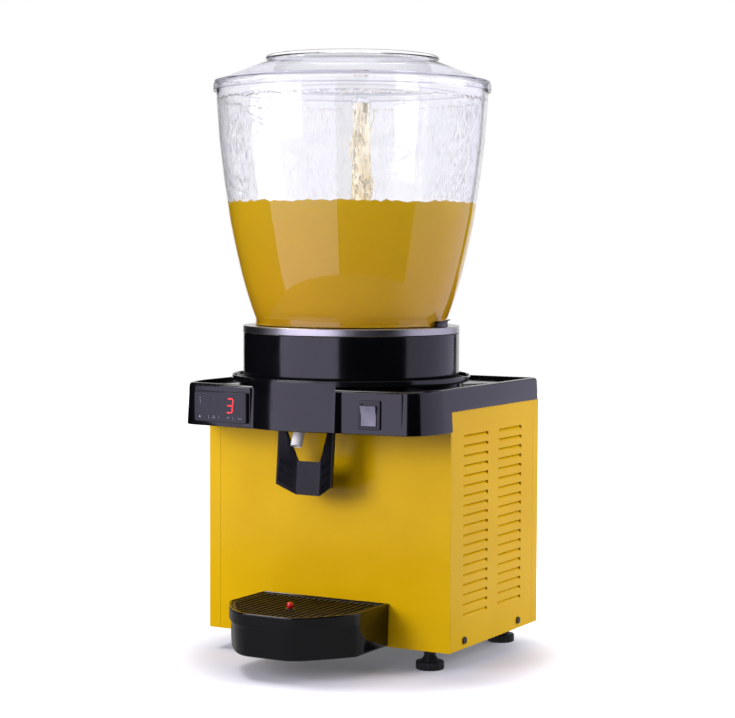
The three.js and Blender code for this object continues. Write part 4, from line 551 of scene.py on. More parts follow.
def slab(outline, low, high, place=lambda a, b, c: (a, b, c)):
    """A flat outline (a, b) with a thickness from low to high, set in place by a function."""
    return loft([[place(a, b, c) for a, b in outline] for c in (low, high)])


print("lathe, loft and slab ready")

# %% [markdown]
# Rods, arcs and boxes come up again and again, so each has a short function. A hole is cut by a
# boolean modifier that is applied at once, because the exported mesh has to hold the real hole.

# %% Rods, arcs, boxes and holes
def rod(radius, low, high, y, closed=True):
    """An upright round bar on the machine's middle plane."""
    return lathe([(0, low), (radius, low), (radius, high), (0, high)], (0, y), 32, closed=closed)


def arc(steps, count):
    """The first angles of a row that has that many steps in a half turn."""
    return [math.pi * k / steps for k in range(count)]


def round_outline(radius, angles):
    """The points of a circle at some angles."""
    return [(radius * math.cos(a), radius * math.sin(a)) for a in angles]


def box(x0, x1, y0, y1, z0, z1):
    """A rectangular bar, used for ribs, bars and cutters."""
    return slab([(x0, y0), (x1, y0), (x1, y1), (x0, y1)], z0, z1)


def carve(made, cutters):
    """Cuts the cutters out of a piece for good and keeps its shading and its rounded edges."""
    bevels = [m.width / MM for m in made.modifiers if m.type == "BEVEL"]
    made.modifiers.clear()
    tools = [put("cutter", closed_mesh("cutter", [cutter])) for cutter in cutters]
    for tool in tools:
        step = made.modifiers.new("cut", "BOOLEAN")
        step.operation, step.solver, step.object = "DIFFERENCE", "EXACT", tool
    bpy.context.view_layer.update()
    seen = bpy.context.evaluated_depsgraph_get()
    cut_mesh = bpy.data.meshes.new_from_object(made.evaluated_get(seen))
    made.modifiers.clear()
    made.data = cut_mesh
    shade(cut_mesh, 32)
    for tool in tools:
        bpy.data.objects.remove(tool)
    for width in bevels:
        round_edges(made, width)


print("tools ready")

# %% [markdown]
# The bowl is blow-moulded: a flat foot, a tight corner, then a wall that opens quickly at first
# and stands almost upright at the rim. Its profile was measured at fifteen heights. The wall is
# the same profile moved 3 mm inward, and the neck in the floor slips over the steel drum.

# %% Bowl
BOWL_WALL = 3.0
WALL_LINE = [
    (395.0, 112.0), (403.3, 115.3), (415, 119.4), (438.2, 126.3), (461.4, 132.0), (484.6, 137.1),
    (507.8, 141.7), (530.9, 145.1), (554, 148.5), (577, 151.3), (600, 154.1), (623, 155.7), (646, 157.3),
]


def smooth_line(points, steps=4):
    """A smooth curve through points, as (b, a) pairs of Catmull-Rom pieces."""
    line = []
    for i in range(len(points) - 1):
        p = [Vector(points[max(0, min(len(points) - 1, i + k))]) for k in (-1, 0, 1, 2)]
        for s in range(steps):
            t = s / steps
            q = 0.5 * (
                2 * p[1]
                + (p[2] - p[0]) * t
                + (2 * p[0] - 5 * p[1] + 4 * p[2] - p[3]) * t**2
                + (3 * p[1] - p[0] - 3 * p[2] + p[3]) * t**3
            )
            line.append(tuple(q))
    line.append(tuple(points[-1]))
    return line


outer_wall = [(r, z) for z, r in smooth_line(WALL_LINE)] + [(157.9, 661.4), (157.0, BOWL_RIM)]
inner_wall = [(r - BOWL_WALL, z) for r, z in outer_wall[2:-2]]
foot = soften(
    [(64, BOWL_FOOT, 0.5), (113, BOWL_FOOT, 1.2), (111.5, BOWL_FOOT + 3.4, 2.0), outer_wall[0]], closed=False
)
FLOOR_Z, NECK_TOP = BOWL_FOOT + 3, 398.9
floor_line = soften(
    [
        inner_wall[0], (105.5, FLOOR_Z, 6), (67, FLOOR_Z, 2),
        (67, NECK_TOP, 0.8), (64, NECK_TOP, 0.8), (64, 390),
    ],
    closed=False,
)
bowl_profile = foot[:-1] + outer_wall + [(155.2, 662.6)] + inner_wall[::-1] + floor_line[1:]
nipple = lathe(soften([(4.4, 387.2), (4.4, 367, 0.6), (3.2, 367, 0.6), (3.2, 387.2)]), (0, OUTLET_Y), 32)
bowl = build("bowl_shell", [lathe(bowl_profile)], bowl_clear, "bowl", ["bowl"], 40)
build("bowl_outlet", [nipple], bowl_clear, "bowl")
print("bowl points", len(bowl.data.vertices))

# %% [markdown]
# The drink fills the bowl to about half its height. Drink that wets a wall leaves no air gap that
# could mirror, so its skin is set a little way into the plastic. It has a frothy meniscus round
# its edge, and a well for the drum and the pump.

# %% Drink in the bowl
def stir(angle, speed, height):
    """A noise of a direction and a height, which needs no seed."""
    return noise.noise(Vector((math.cos(angle) * speed, math.sin(angle) * speed, height)))


inner_points = [(r + 0.3, z) for r, z in inner_wall if z < JUICE_TOP - 1]
edge_r = inner_points[-1][0] + 0.25
drink_profile = [
    (67.5, BOWL_FOOT + 0.8), (111.6, BOWL_FOOT + 0.8), (110.4, BOWL_FOOT + 3.6), (110.9, BOWL_FOOT + 8.0),
    *inner_points, (edge_r, JUICE_TOP + 0.9), (edge_r - 1.2, JUICE_TOP + 0.2), (edge_r - 4, JUICE_TOP),
    (60, JUICE_TOP), (0, JUICE_TOP), (0, 506), (46, 506), (46, 473), (60.6, 473), (60.6, 400), (67.5, 399.6),
]
juice = build("orange_drink", [lathe(drink_profile)], drink, "bowl", crease=50)
carve(juice, [rod(11.6, 500, 540, RISER_Y)])
for vertex in juice.data.vertices:
    x, y, z = vertex.co / MM
    if z > JUICE_TOP + 0.1 and math.hypot(x, y - BOWL_Y) > edge_r - 3:
        a = math.atan2(y - BOWL_Y, x)
        froth = stir(a, 19, 3.1) + 0.6 * stir(a, 43, 7.7)
        vertex.co.z += max(-1.2, 4.2 * froth + 0.6) * MM


print("drink points", len(juice.data.vertices))

# %% [markdown]
# The pump lifts drink through the riser, and it runs down the outside of the tube as an uneven
# sleeve. The sleeve is a round form whose radius is stirred by a noise of the place, so it comes
# out the same every time. Thin strands leave it and join it again.

# %% Riser, nozzle and the running sleeve
RISER_BORE, RISER_OUT, RISER_TOP = 6.2, 8.0, 646.9
SLEEVE_TOP = 645.0


def sleeve():
    """The drink that runs down round the riser, thicker and thinner along its height."""
    steps, rows, hollow = 40, 96, RISER_OUT + 0.25
    skin, bore = [], []
    for k in range(rows + 1):
        z = JUICE_TOP + 0.4 + (SLEEVE_TOP - JUICE_TOP - 0.4) * k / rows
        spread = 1.0 - 0.9 * max(0.0, min(1.0, (z - 560.0) / 70.0))  # thin near the nozzle
        ring, inner = [], []
        for i in range(steps):
            a = 2 * math.pi * i / steps
            stirred = 1.6 + 4.2 * stir(a, 1.2, z / 13) + 1.2 * stir(a, 3.0, z / 5)
            r = max(8.6, 8.6 + spread * stirred)
            ring.append((r * math.cos(a), RISER_Y + r * math.sin(a), z))
            inner.append((hollow * math.cos(a), RISER_Y + hollow * math.sin(a), z))
        skin.append(ring)
        bore.append(inner)
    return loft(skin + bore[::-1], loop=True)


def strand(turn, swing, thick, phase):
    """One thin run of drink that leaves the sleeve, wanders beside it and joins it again."""
    rings = []
    for k in range(61):
        z = JUICE_TOP + 2 + 108.0 * k / 60
        bow = 10.2 + swing * max(0.0, math.sin(z / 14 + phase)) ** 1.5
        a = turn + 0.5 * math.sin(z / 23 + phase * 2)
        r = thick * (0.75 + 0.45 * noise.noise(Vector((phase, turn, z / 6))))
        x, y = bow * math.cos(a), RISER_Y + bow * math.sin(a)
        rings.append([(x + a, y + b, z) for a, b in round_outline(r, arc(5, 10))])
    return loft(rings)


STRANDS = [  # turn, swing, thickness and phase
    (0.4, 4.2, 1.3, 0.3), (2.6, 5.0, 1.5, 1.7), (3.7, 3.6, 1.2, 3.1), (5.6, 4.6, 1.4, 4.6),
    (4.7, 3.0, 1.6, 2.2),
]
runs = [strand(*values) for values in STRANDS]
build("running_drink", [sleeve()] + runs, stream_finish, "stand", crease=60)
filling = rod(RISER_BORE - 0.1, 497, SLEEVE_TOP, RISER_Y, closed=False)
build("riser_filling", [filling], stream_finish, "stand")
riser_line = soften(
    [(RISER_BORE, 495), (RISER_OUT, 495, 0.4), (RISER_OUT, RISER_TOP, 0.4), (RISER_BORE, RISER_TOP, 0.4)]
)
build(
    "riser_pipe", [lathe(riser_line, (0, RISER_Y), 48)], lid_clear, "stand", ["riser_tube"]
)
print("strands beside the sleeve:", len(STRANDS))

# %% [markdown]
# The lid is pressed from clear sheet: a skirt that drops over the rim, a shallow cone, and a
# raised disc in the middle to grip. Two beads round the skirt stiffen it and catch the light.

# %% Lid
lid_outer = soften(
    [
        (0, 697.0), (100.5, 697.0, 2.0), (100.5, 692.8, 1.8), (97.0, 692.4, 0.6), (96.2, 691.6, 0.5),
        (156.4, 668.6, 2.5), (160.4, 667.4, 1.4), (159.2, 665.4, 0.8), (161.0, 663.8, 0.8),
        (161.0, 656.6, 0.6), (160.4, 655.9, 0.3),
    ],
    closed=False, steps=4,
)
lid_inner = soften(
    [
        (159.0, 655.9, 0.3), (158.6, 656.6, 0.4), (158.6, 663.3, 0.4), (152.0, 663.3, 0.4),
        (152.0, 668.0, 0.8), (94.0, 690.2, 1.0), (94.0, 693.0, 1.0), (92.6, 694.8, 1.0), (0, 694.8),
    ],
    closed=False, steps=4,
)
lid = build("lid_shell", [lathe(lid_outer + lid_inner)], lid_clear, "lid", ["lid"], 28)
print("lid points", len(lid.data.vertices))

# %% [markdown]
# Below the bowl stands a polished steel deck with a turned-down edge, on a tall glossy collar that
# widens into a gutter. Each is one turned profile, with the small radii a press or a mould leaves.

# %% Deck, collar and gutter
deck_profile = soften(
    [(60.3, 385.1), (124.6, 385.1, 0.6), (124.6, 378.5), (126, 378.5, 0.2), (126, 386.3, 1.4), (60.3, 386.3)]
)
deck = build("steel_deck_plate", [lathe(deck_profile)], stainless, "stand", ["steel_deck"])
carve(deck, [rod(9, 380, 390, OUTLET_Y)])
collar_profile = soften([(122.4, 324.4), (126, 324.4, 0.4), (126, 378.0, 1.0), (122.4, 378.0, 0.6)])
build("column_collar", [lathe(collar_profile)], gloss_abs, "stand", ["bowl_collar"])
gutter_profile = soften(
    [
        (118, 315.4), (131, 315.4), (131, 321.7, 0.6), (139, 322.6, 1.2), (139, 329.4, 0.7),
        (137.4, 329.4, 0.7), (136.6, 324.2, 1.6), (118, 323.7),
    ]
)
build("gutter_ring", [lathe(gutter_profile)], gloss_abs, "stand", ["drip_gutter"])
print("deck points", len(deck.data.vertices))

# %% [markdown]
# The cover is one big moulding: a rounded tub turned over, with a raised lip round its top, and a
# fascia that hangs in front of the casing. Its outline bulges at the front and its corners are
# long curves. Outlines at rising heights make the skin, then the part over the casing is cut away.

# %% Cover outline
def curve(start, control, end, steps):
    """A quadratic Bezier curve without its first point."""
    line = []
    for k in range(1, steps + 1):
        t = k / steps
        near, middle, far = (1 - t) ** 2, 2 * t * (1 - t), t * t
        line.append(tuple(near * a + middle * b + far * c for a, b, c in zip(start, control, end)))
    return line


def mirrored(half):
    """The whole outline from its right half, which starts and ends on the middle line."""
    return half + [(-x, y) for x, y in reversed(half) if x > 1e-6]


def cover_outline(inset, z):
    """The cover's outline at one height, drawn in by inset."""
    front, corner, side, rear = -75.5 + inset, -66.5 + inset, 160 - inset, 232 - inset
    start = (138.0, corner)
    r = max(6 - inset, 1)
    dent = 7.0 if z < 316.9 else 0.9  # the groove between the nose and the right pad, closed by the lip
    half = [(0.0, front), (30.0, front + 0.15), (55.5, front + 0.4)]
    half += [(65.6, front + dent), (66.4, front + dent), (67.0, front + 0.9)]
    half += [(97.0, (front + 0.6 + corner) / 2), start]
    half += curve(start, (156.0 - inset, corner + 4), (side, -18.0), 22)
    half += [(side - r + a, rear - r + b) for a, b in round_outline(r, arc(16, 9))]
    half += [(0.0, rear)]
    return [(x, PANEL_Y + y, z) for x, y in mirrored(half)]


def ring_at(radius, like, z):
    """A circle round the bowl's axis with one point for each point of an outline."""
    angles = [math.atan2(y - BOWL_Y, x) for x, y, _ in like]
    return [(a, BOWL_Y + b, z) for a, b in round_outline(radius, angles)]


print("cover outline ready")

# %% [markdown]
# The skin goes up outside, over the rounded lip and down into the recess. From there it goes in to
# a round hole at the bowl's axis and back along the underside, so one loft makes a closed wall.
# Three shapes are then cut out of it: the casing below, the way of the lever and the hose's hole.

# %% Cover shell
RECESS_Z, UNDERSIDE_Z = 315.0, 312.4  # the two faces of the cover's top
quarter = arc(12, 7)
rings = [(-1.9, 272.7), (-2.4, 273.2)]  # how far each outline is drawn in, and its height
rings += [(-2.4 + 2.4 * k / 4, 273.2 + 43.6 * k / 4) for k in range(1, 4)]
rings += [(4.2 * (1 - math.cos(a)), 316.8 + 4.2 * math.sin(a)) for a in quarter]
rings += [(5.2 + 0.8 * math.sin(a), 320.2 + 0.8 * math.cos(a)) for a in quarter[::2]]
rings += [(6.0, 315.8), (6.25, 315.2), (6.8, RECESS_Z)]
rings = [cover_outline(*ring) for ring in rings]
rings += [ring_at(62, rings[-1], RECESS_Z), ring_at(62, rings[-1], UNDERSIDE_Z)]
rings += [cover_outline(2.6, UNDERSIDE_Z), cover_outline(2.6, 275.3)]
cover = build("cover_shell", [loft(rings)], gloss_abs, "stand", ["top_cover"], crease=38)
over_casing = box(-170, 170, PANEL_Y - 0.3, PANEL_Y + 240, 260, 295.3)
lever_way = box(-43.5, 43.5, PANEL_Y - 74, PANEL_Y - 14, 260, 276.3)
carve(cover, [over_casing, lever_way, rod(10.5, 300, 330, PANEL_Y - 46)])
print("cover points", len(cover.data.vertices))

# %% [markdown]
# The nose is part of the same moulding on the real machine. It is turned round the bowl's axis,
# so it is made as a sector of a lathe form. Two flat pads beside it carry the controls.

# %% Nose and pads
nose_profile = soften(
    [
        (131, 272.7), (143.6, 272.7, 0.8), (141.2, 324, 60), (141, 328, 0.8), (139.4, 328, 0.5),
        (139.4, 321.8), (131.4, 321.2), (131.4, 312.6), (131, 312.6),
    ],
    steps=4,
)
nose = lathe(nose_profile, steps=40, sector=(270 - 24.2, 270 + 22.9))
build("cover_nose", [nose], gloss_abs, "stand", bevel=1.4)

PAD_TURN = math.atan2(9.0, 81.0)
PAD_MIDDLE = (97.5, PANEL_Y - 73.0, 294.2)


def on_pad(side):
    """Places (x, z, y) of a piece drawn flat against one pad, with y pointing into the cover."""
    turn = side * PAD_TURN

    def place(x, z, y):
        return (
            x * math.cos(turn) - y * math.sin(turn) + side * PAD_MIDDLE[0],
            x * math.sin(turn) + y * math.cos(turn) + PAD_MIDDLE[1],
            z + PAD_MIDDLE[2],
        )

    return place


def pad_outline(x0, x1):
    """A pad's outline, from its left end to its right end."""
    return soften([(x0, -21.5), (x1, -21.5), (x1, 24.5, 2.5), (x0, 24.5, 1.5)], steps=6)


for side, name, x0, x1 in ((-1, "left", -38.0, 44.0), (1, "right", -34.2, 38.4)):
    pad = slab(pad_outline(x0, x1), 0, 4.6, on_pad(side))
    build(f"cover_pad_{name}", [pad], gloss_abs, "stand", bevel=1.3)
print("pads turned by", round(math.degrees(PAD_TURN), 2), "degrees")

# %% [markdown]
# The thermostat shows one lit figure behind its smoked window. A seven-segment figure is drawn as
# seven pointed bars, of which five are lit for a 3, with unlit ones beside it and small marks below.

# %% Thermostat face
FACE_X, FACE_Z = 3.4, 0.9  # the middle of the thermostat's face on the left pad


def face_outline(inset):
    """The thermostat's rounded face, drawn in by inset."""
    x, z, r = 38.2 - inset, 17.4 - inset, 3.2 - inset
    signs = ((-1, -1), (1, -1), (1, 1), (-1, 1))
    return soften([(FACE_X + a * x, FACE_Z + b * z, r) for a, b in signs], steps=6)


build(
    "thermostat_case",
    [slab(face_outline(0), -3.3, 0.4, on_pad(-1)), slab(face_outline(3.1), 0.4, 50, on_pad(-1))],
    satin_abs, "stand", ["thermostat_housing"], bevel=0.5,
)
build(
    "thermostat_glass", [slab(face_outline(0.5), -4.4, -3.2, on_pad(-1))],
    smoked_lens, "stand", ["thermostat_window"], bevel=0.4,
)
print("thermostat face ready")

# %% [markdown]
# The figures and marks lie as thin slabs on the window, so they are real shapes and stay sharp from
# close by. A lit bar glows, and an unlit one is a shade paler than the window.

# %% Thermostat figures
def segment(x0, z0, length, upright, wide=1.4):
    """One pointed bar of a seven-segment figure, leaning as the real figures do."""
    half, tip = length / 2, wide / 2
    inner = half - tip
    bar = [(-half, 0), (-inner, tip), (inner, tip), (half, 0), (inner, -tip), (-inner, -tip)]
    if upright:
        bar = [(z, x) for x, z in bar]
    return [(x0 + x + (z0 + z) * 0.1, z0 + z) for x, z in bar]


FIGURE = {
    "a": (0, 7.9, False), "b": (4.1, 3.95, True), "c": (4.1, -3.95, True), "d": (0, -7.9, False),
    "e": (-4.1, -3.95, True), "f": (-4.1, 3.95, True), "g": (0, 0, False),
}


FIGURE_X, FIGURE_Z = (-7.5, 5.2, 17.9), 3.2  # the three places for a figure


def figure(x, names):
    """The chosen bars of one figure, each a thin slab just proud of the window."""
    made = []
    for name in names:
        dx, dz, upright = FIGURE[name]
        outline = [(px + x, pz + FIGURE_Z) for px, pz in segment(dx, dz, 7.3, upright)]
        made.append(slab(outline, -4.54, -4.42, on_pad(-1)))
    return made


build("lit_figure", figure(FIGURE_X[2], "abcdg"), lit_segment, "stand")
unlit = figure(FIGURE_X[0], "abcdefg") + figure(FIGURE_X[1], "abcdefg") + figure(FIGURE_X[2], "ef")
build("unlit_figures", unlit, ghost_segment, "stand")


def key_mark(x, z, corners):
    """One printed mark under the figures: a flat outline on the window."""
    return slab([(FACE_X + x + a, FACE_Z + z + b) for a, b in corners], -4.5, -4.42, on_pad(-1))


def ring_marks(x, z, radius, line, steps=20):
    """A printed ring, in short straight pieces."""
    marks = []
    for k in range(steps):
        a, b = (2 * math.pi * (k + t) / steps for t in (0.0, 1.04))
        ends = ((radius, a), (radius, b), (radius - line, b), (radius - line, a))
        marks.append(key_mark(x, z, [(r * math.cos(t), r * math.sin(t)) for r, t in ends]))
    return marks


ARROW = [(-1.5, -1.0), (1.5, -1.0), (0, 1.4)]
HOOK = [(-1.9, 1.2), (0, -1.3), (1.9, 1.2), (1.3, 1.2), (0, -0.5), (-1.3, 1.2)]
BAR = [(-0.15, -1.8), (0.15, -1.8), (0.15, 1.8), (-0.15, 1.8)]
DOT = round_outline(0.55, arc(4, 8))
ROW_Z = -11.6
marks = [key_mark(-29.5, ROW_Z, ARROW), key_mark(12.0, ROW_Z, HOOK)]
marks += [key_mark(x, ROW_Z - 0.2, DOT) for x in (28.0, 31.0)]
marks += [key_mark(x, ROW_Z, BAR) for x in (-16.5, -1.5, 19.5)] + ring_marks(-9.0, ROW_Z, 1.7, 0.4)
marks += [key_mark(-29.0, z, DOT) for z in (9.6, 6.8, 4.0)]
build("printed_marks", marks, printed_white, "stand")
print("marks:", len(marks))

# %% [markdown]
# The hose is a soft tube. Its rings follow a smooth curve from the outlet down and forward, and
# near the pinch bar each ring is flattened, wider one way and thinner the other, as a real silicone
# tube is when it is shut.

# %% Tap hose
HOSE_LINE = [(-43, 375.7), (-43, 345), (-45.5, 318), (-51, 296), (-58.5, 275), (-66.5, 254.6)]
HOSE_RADIUS, HOSE_BORE = 6.5, 4.8


def hose_rings(radius, squeeze, steps=28):
    """Rings of the hose, flattened round the pinch."""
    line = smooth_line([(PANEL_Y + y, z) for y, z in HOSE_LINE], 12)
    rings = []
    for k, (y, z) in enumerate(line):
        before, after = Vector(line[max(0, k - 1)]), Vector(line[min(len(line) - 1, k + 1)])
        d = (after - before).normalized()
        flat = math.exp(-(((z - PINCH_Z) / 7) ** 2))
        wide, thin = radius * (1 + 0.3 * flat), radius * (1 - squeeze * flat)
        ring = []
        for i in range(steps):
            a = 2 * math.pi * i / steps
            s = thin * math.sin(a)
            ring.append((wide * math.cos(a), y + s * d.y, z - s * d.x))
        rings.append(ring)
    return rings


build(
    "silicone_hose", [loft(hose_rings(HOSE_RADIUS, 0.52) + hose_rings(HOSE_BORE, 0.86)[::-1], loop=True)],
    silicone, "stand", ["tap_hose"], crease=50,
)
print("hose bends:", len(HOSE_LINE))

# %% [markdown]
# The lever is moulded in black with a fine etched skin. Its flat face lies between two wings that
# come forward to catch the cup, with a window above and three grip grooves on each wing. It is
# drawn upright round its pivot and then leaned. Window and grooves are cut into the mesh, because
# a groove that is only a bump would be missing from the exported shape.

# %% Tap lever
FACE_HALF, LEVER_HALF, WING, LEVER_LOW, LEVER_WALL = 15.3, 36.5, 11.5, -99.5, 2.5
LEVER_LEAN = math.radians(-5)


def on_lever(x, y, z):
    """Sets a point of the upright lever in its place at rest."""
    c, s = math.cos(LEVER_LEAN), math.sin(LEVER_LEAN)
    return (x, PIVOT_Y + y * c - z * s, PIVOT_Z + y * s + z * c)


def through_lever(x, z, y):
    return on_lever(x, y, z)


def along_lever(y, z, x):
    return on_lever(x, y, z)


def into_wing(x, z, deep):
    """A point at a depth below the front of a wing."""
    return on_lever(x, -WING * (abs(x) - FACE_HALF) / (LEVER_HALF - FACE_HALF) + deep, z)


right_half = [
    (FACE_HALF, 0, 1.5), (LEVER_HALF, -WING, 1.0), (LEVER_HALF, -WING + 5.5, 0.5),
    (LEVER_HALF - LEVER_WALL, -WING + 5.5, 0.3), (LEVER_HALF - LEVER_WALL, -WING + LEVER_WALL + 0.9, 0.5),
    (FACE_HALF - 0.8, LEVER_WALL, 1.0),
]
lever_plan = soften(right_half + [(-x, y, r) for x, y, r in reversed(right_half)], steps=4)
lever = build(
    "lever_face", [slab(lever_plan, LEVER_LOW, -4, on_lever)],
    lever_abs, "tap", ["tap_lever"], bevel=0.6,
)
window = soften([(-14.6, -61.4, 2.5), (13.5, -61.4, 2.5), (30.6, -9), (-32, -9), (-29, -24)])
cutters = [slab(window, -30, 12, through_lever)]
for side in (-1, 1):
    near, far = FACE_HALF - 1, LEVER_HALF + 1
    corner = [(near, LEVER_LOW - 0.6), (far, LEVER_LOW + 11.9), (far, LEVER_LOW - 3), (near, LEVER_LOW - 3)]
    cutters.append(slab([(side * x, z) for x, z in corner], -30, 30, through_lever))
    for z in (-63.9, -75.1, -86.3):
        groove = [(19.6, z - 4.9), (33.0, z + 2.3), (33.0, z + 4.9), (19.6, z - 2.3)]
        cutters.append(slab([(side * x, z) for x, z in groove], -3, 1.4, into_wing))
carve(lever, cutters)
barrel = round_outline(5.6, arc(20, 40))
works = [
    (barrel, LEVER_HALF),
    ([(-8, -9.5), (2.4, -9.5), (2.4, 0), (-8, 0)], LEVER_HALF - 0.6),  # bar below the pin
    ([(-8, -15), (0, -15), (0, -9), (-8, -9)], LEVER_HALF - 1),  # step below the bar
    ([(-2, -15), (-16, -14.2), (-16.6, -13), (-16, -11.8), (-2, -9)], 9),  # tongue, which pinches the hose
    ([(3, -3.5), (16, -3.5), (16, -1), (3, -1)], 7),  # tail, under the spring
]
works = [slab(outline, -half, half, along_lever) for outline, half in works]
build("lever_works", works, lever_abs, "tap", bevel=0.5)
print("lever points", len(lever.data.vertices))

# %% [markdown]
# The drip tray is moulded in the same glossy black, with a band round its top that stands a little
# proud. Its plan is straight at the sides and rounds off to a narrower front. The grille lies in
# it: a rim, thin bars from front to back with rounded tops, and two cross ribs below.

# %% Drip tray
def tray_outline(inset, z, rear=0.0, sides=None):
    """The tray's outline at one height, drawn in by inset. rear holds the back edge forward."""
    side, front = 83 - (inset if sides is None else sides), -136 + inset
    start = (34 - inset * 0.3, front)
    bend = curve(start, (64 - inset, -112 + inset), (side, -74 + inset * 0.4), 26)
    half = [(0.0, front), (12.0, front), (start[0] - 12.5, front)]
    half += curve((start[0] - 12.5, front), start, bend[5], 7) + bend[6:]
    half += [(side, -50.0), (side, -25.0), (side, -1.9 - rear), (side * 0.5, -1.9 - rear), (0.0, -1.9 - rear)]
    return [(x, PANEL_Y + min(y, -1.9 - rear), z) for x, y in mirrored(half)]


rings = [(6.5, 41, 6.5, 3.5), (6.5, 26.4, 6.5, 3.5)]
for a in quarter[::2]:
    left = 1 - math.sin(a)
    rings.append((4.0 + 2.4 * left, 28.4 - 2.4 * math.cos(a), 0, 1.0 + 1.6 * left))
rings += [(2.7, 57.0, 0, 0.2), (2.4, 58.0, 0, 0.1), (0.3, 60.8, 0, 0.0)]
rings += [(0, z, 0, 0) for z in (61.6, 62.6, 73.2)]
rings += [(1.0 * (1 - math.cos(a)), 74.0 + math.sin(a)) for a in quarter[::2]]
rings += [(2.1, 75, 2.1), (2.5, 74.6, 2.5), (2.5, 70.6, 2.5)]
rings += [(5.1, 70.5, 5.1), (6.5, 44.5, 6.5, 5.0), (7.5, 43.5, 7.5, 6.0)]
shell = loft([tray_outline(*ring) for ring in rings])
tray = build("tray_shell", [shell], gloss_abs, "tray", ["drip_tray"], crease=30)
carve(tray, [box(x - 9.5, x + 9.5, PANEL_Y - 14, PANEL_Y + 9, 20, 41) for x in (-45, 45)])
print("tray points", len(tray.data.vertices))

# %% [markdown]
# The grille drops into the tray and lifts out by itself, so it is a piece of its own. Its bars end
# where the tray's outline is, and a bush in the middle guides the stem of the red float.

# %% Grille and float
GRILLE_LOW, BAR_TOP, RIM_TOP, BAR_PITCH, BAR_HALF = 70.8, 73.6, 73.8, 8.0, 1.2
corners = ((3.1, GRILLE_LOW), (3.1, RIM_TOP), (6.3, RIM_TOP), (6.3, GRILLE_LOW))
parts = [loft([tray_outline(inset, z, inset) for inset, z in corners], loop=True)]
edge = [(x, y) for x, y, z in tray_outline(6.0, 0) if x >= 0 and y < PANEL_Y - 20]
for number in range(-9, 10):
    x = number * BAR_PITCH
    for (x0, y0), (x1, y1) in zip(edge, edge[1:]):
        if x0 <= abs(x) <= x1 and x1 > x0:
            front = y0 + (y1 - y0) * (abs(x) - x0) / (x1 - x0) - 0.5
            parts.append(box(x - BAR_HALF, x + BAR_HALF, front, PANEL_Y - 7.5, GRILLE_LOW, BAR_TOP))
            break
parts += [box(-58, 58, PANEL_Y + y - 1, PANEL_Y + y + 1, 68.8, 71.2) for y in (-36, -100)]
bush = lathe(soften([(2.6, GRILLE_LOW), (6, GRILLE_LOW), (6, 74.0, 0.5), (2.6, 74.0, 0.3)]), (0, FLOAT_Y), 32)
build("grille_bars", parts + [bush], satin_abs, "grille", ["drip_grille"], bevel=0.5)
BALL_Z = 77.3
ball = [(a, BALL_Z + b) for a, b in round_outline(4.0, [math.pi / 2 - a for a in arc(18, 15)])]
float_profile = ball + soften([(2, 73.6), (2, 60.8), (9, 60.8, 0.5), (9, 56.8, 0.5), (0, 56.8)], closed=False)
build(
    "float_ball", [lathe(float_profile, (0, FLOAT_Y), 32, closed=False)],
    red_ball, "float", ["float_indicator"],
)
print("grille parts:", len(parts))

# %% [markdown]
# Four feet screw into the base. A hand turns them, so their rims are scalloped. The radius swings
# with the angle, and the edges above and below are drawn in to round them.

# %% Feet
FOOT_RADIUS, FOOT_LOBES = 15.4, 16


def foot_parts(x, y):
    """A scalloped disc with a waisted neck and its stud."""
    rings = []
    for inset, z in ((1.2, 0), (0.3, 0.4), (0, 1.2), (0, 8.2), (0.4, 9.0), (1.4, 9.5)):
        ring = []
        for k in range(192):
            a = 2 * math.pi * k / 192
            r = FOOT_RADIUS - inset + 0.8 * abs(math.cos(FOOT_LOBES / 2 * a)) ** 0.7
            ring.append((x + r * math.cos(a), y + r * math.sin(a), z))
        rings.append(ring)
    neck = [(0, 46), (4, 46, 0.5), (4, 24.7), (7, 24.7, 0.5), (6.6, 15.5, 3), (11, 8.5), (0, 8.5)]
    return [loft(rings), lathe(soften(neck, closed=False), (x, y), 32, closed=False)]


for end, y in (("front", 26), ("rear", 212)):
    for side, x in (("left", -122), ("right", 122)):
        foot = f"foot_{end}_{side}"
        parts = foot_parts(x, PANEL_Y + y)
        build(f"{foot}_rubber", parts, black_rubber, foot, [foot], crease=40)
print("lobes on a foot:", FOOT_LOBES)

# %% [markdown]
# The CAD nodes that stay have the right shapes already. Each gets the finish of its material slot, and
# modifiers that weld its mesh and shade its curved faces smoothly; a few also get slightly rounded edges.

# %% Finishes for the CAD nodes that stay
SLOT_FINISH = {
    "zinc_sheet": zinc_sheet, "yellow_paint": coated_sheet, "black_gloss": gloss_abs,
    "black_matt": satin_abs, "black_paint": stove_enamel, "steel": stainless, "copper": copper_tube,
    "aluminium": bare_aluminium, "foam": urethane_foam, "clear_plastic": lid_clear,
    "smoked_lens": smoked_lens, "silicone": silicone, "grey_rubber": grey_rubber,
    "black_rubber": black_rubber, "red_plastic": red_ball, "grey_plastic": rocker_plastic,
}
EDGE_WIDTH = {"switch_housing": 0.4, "switch_rocker": 0.6, "bowl_clip_right": 0.5, "bowl_clip_left": 0.5}
slot_of = {part["node"]: part["material_slot"] for part in frame["record"]["subparts"]}
for name, node in frame["nodes"].items():
    finish = stove_enamel if name.startswith("panel_screw") else SLOT_FINISH[slot_of[name]]
    node.data.materials.clear()
    node.data.materials.append(finish)
    for polygon in node.data.polygons:
        polygon.use_smooth = True
    weld = node.modifiers.new("weld", "WELD")
    weld.merge_threshold = 1e-6
    if name in EDGE_WIDTH:
        round_edges(node, EDGE_WIDTH[name])
    split = node.modifiers.new("crisp_edges", "EDGE_SPLIT")
    split.split_angle = math.radians(30)
print("CAD nodes dressed:", len(frame["nodes"]))

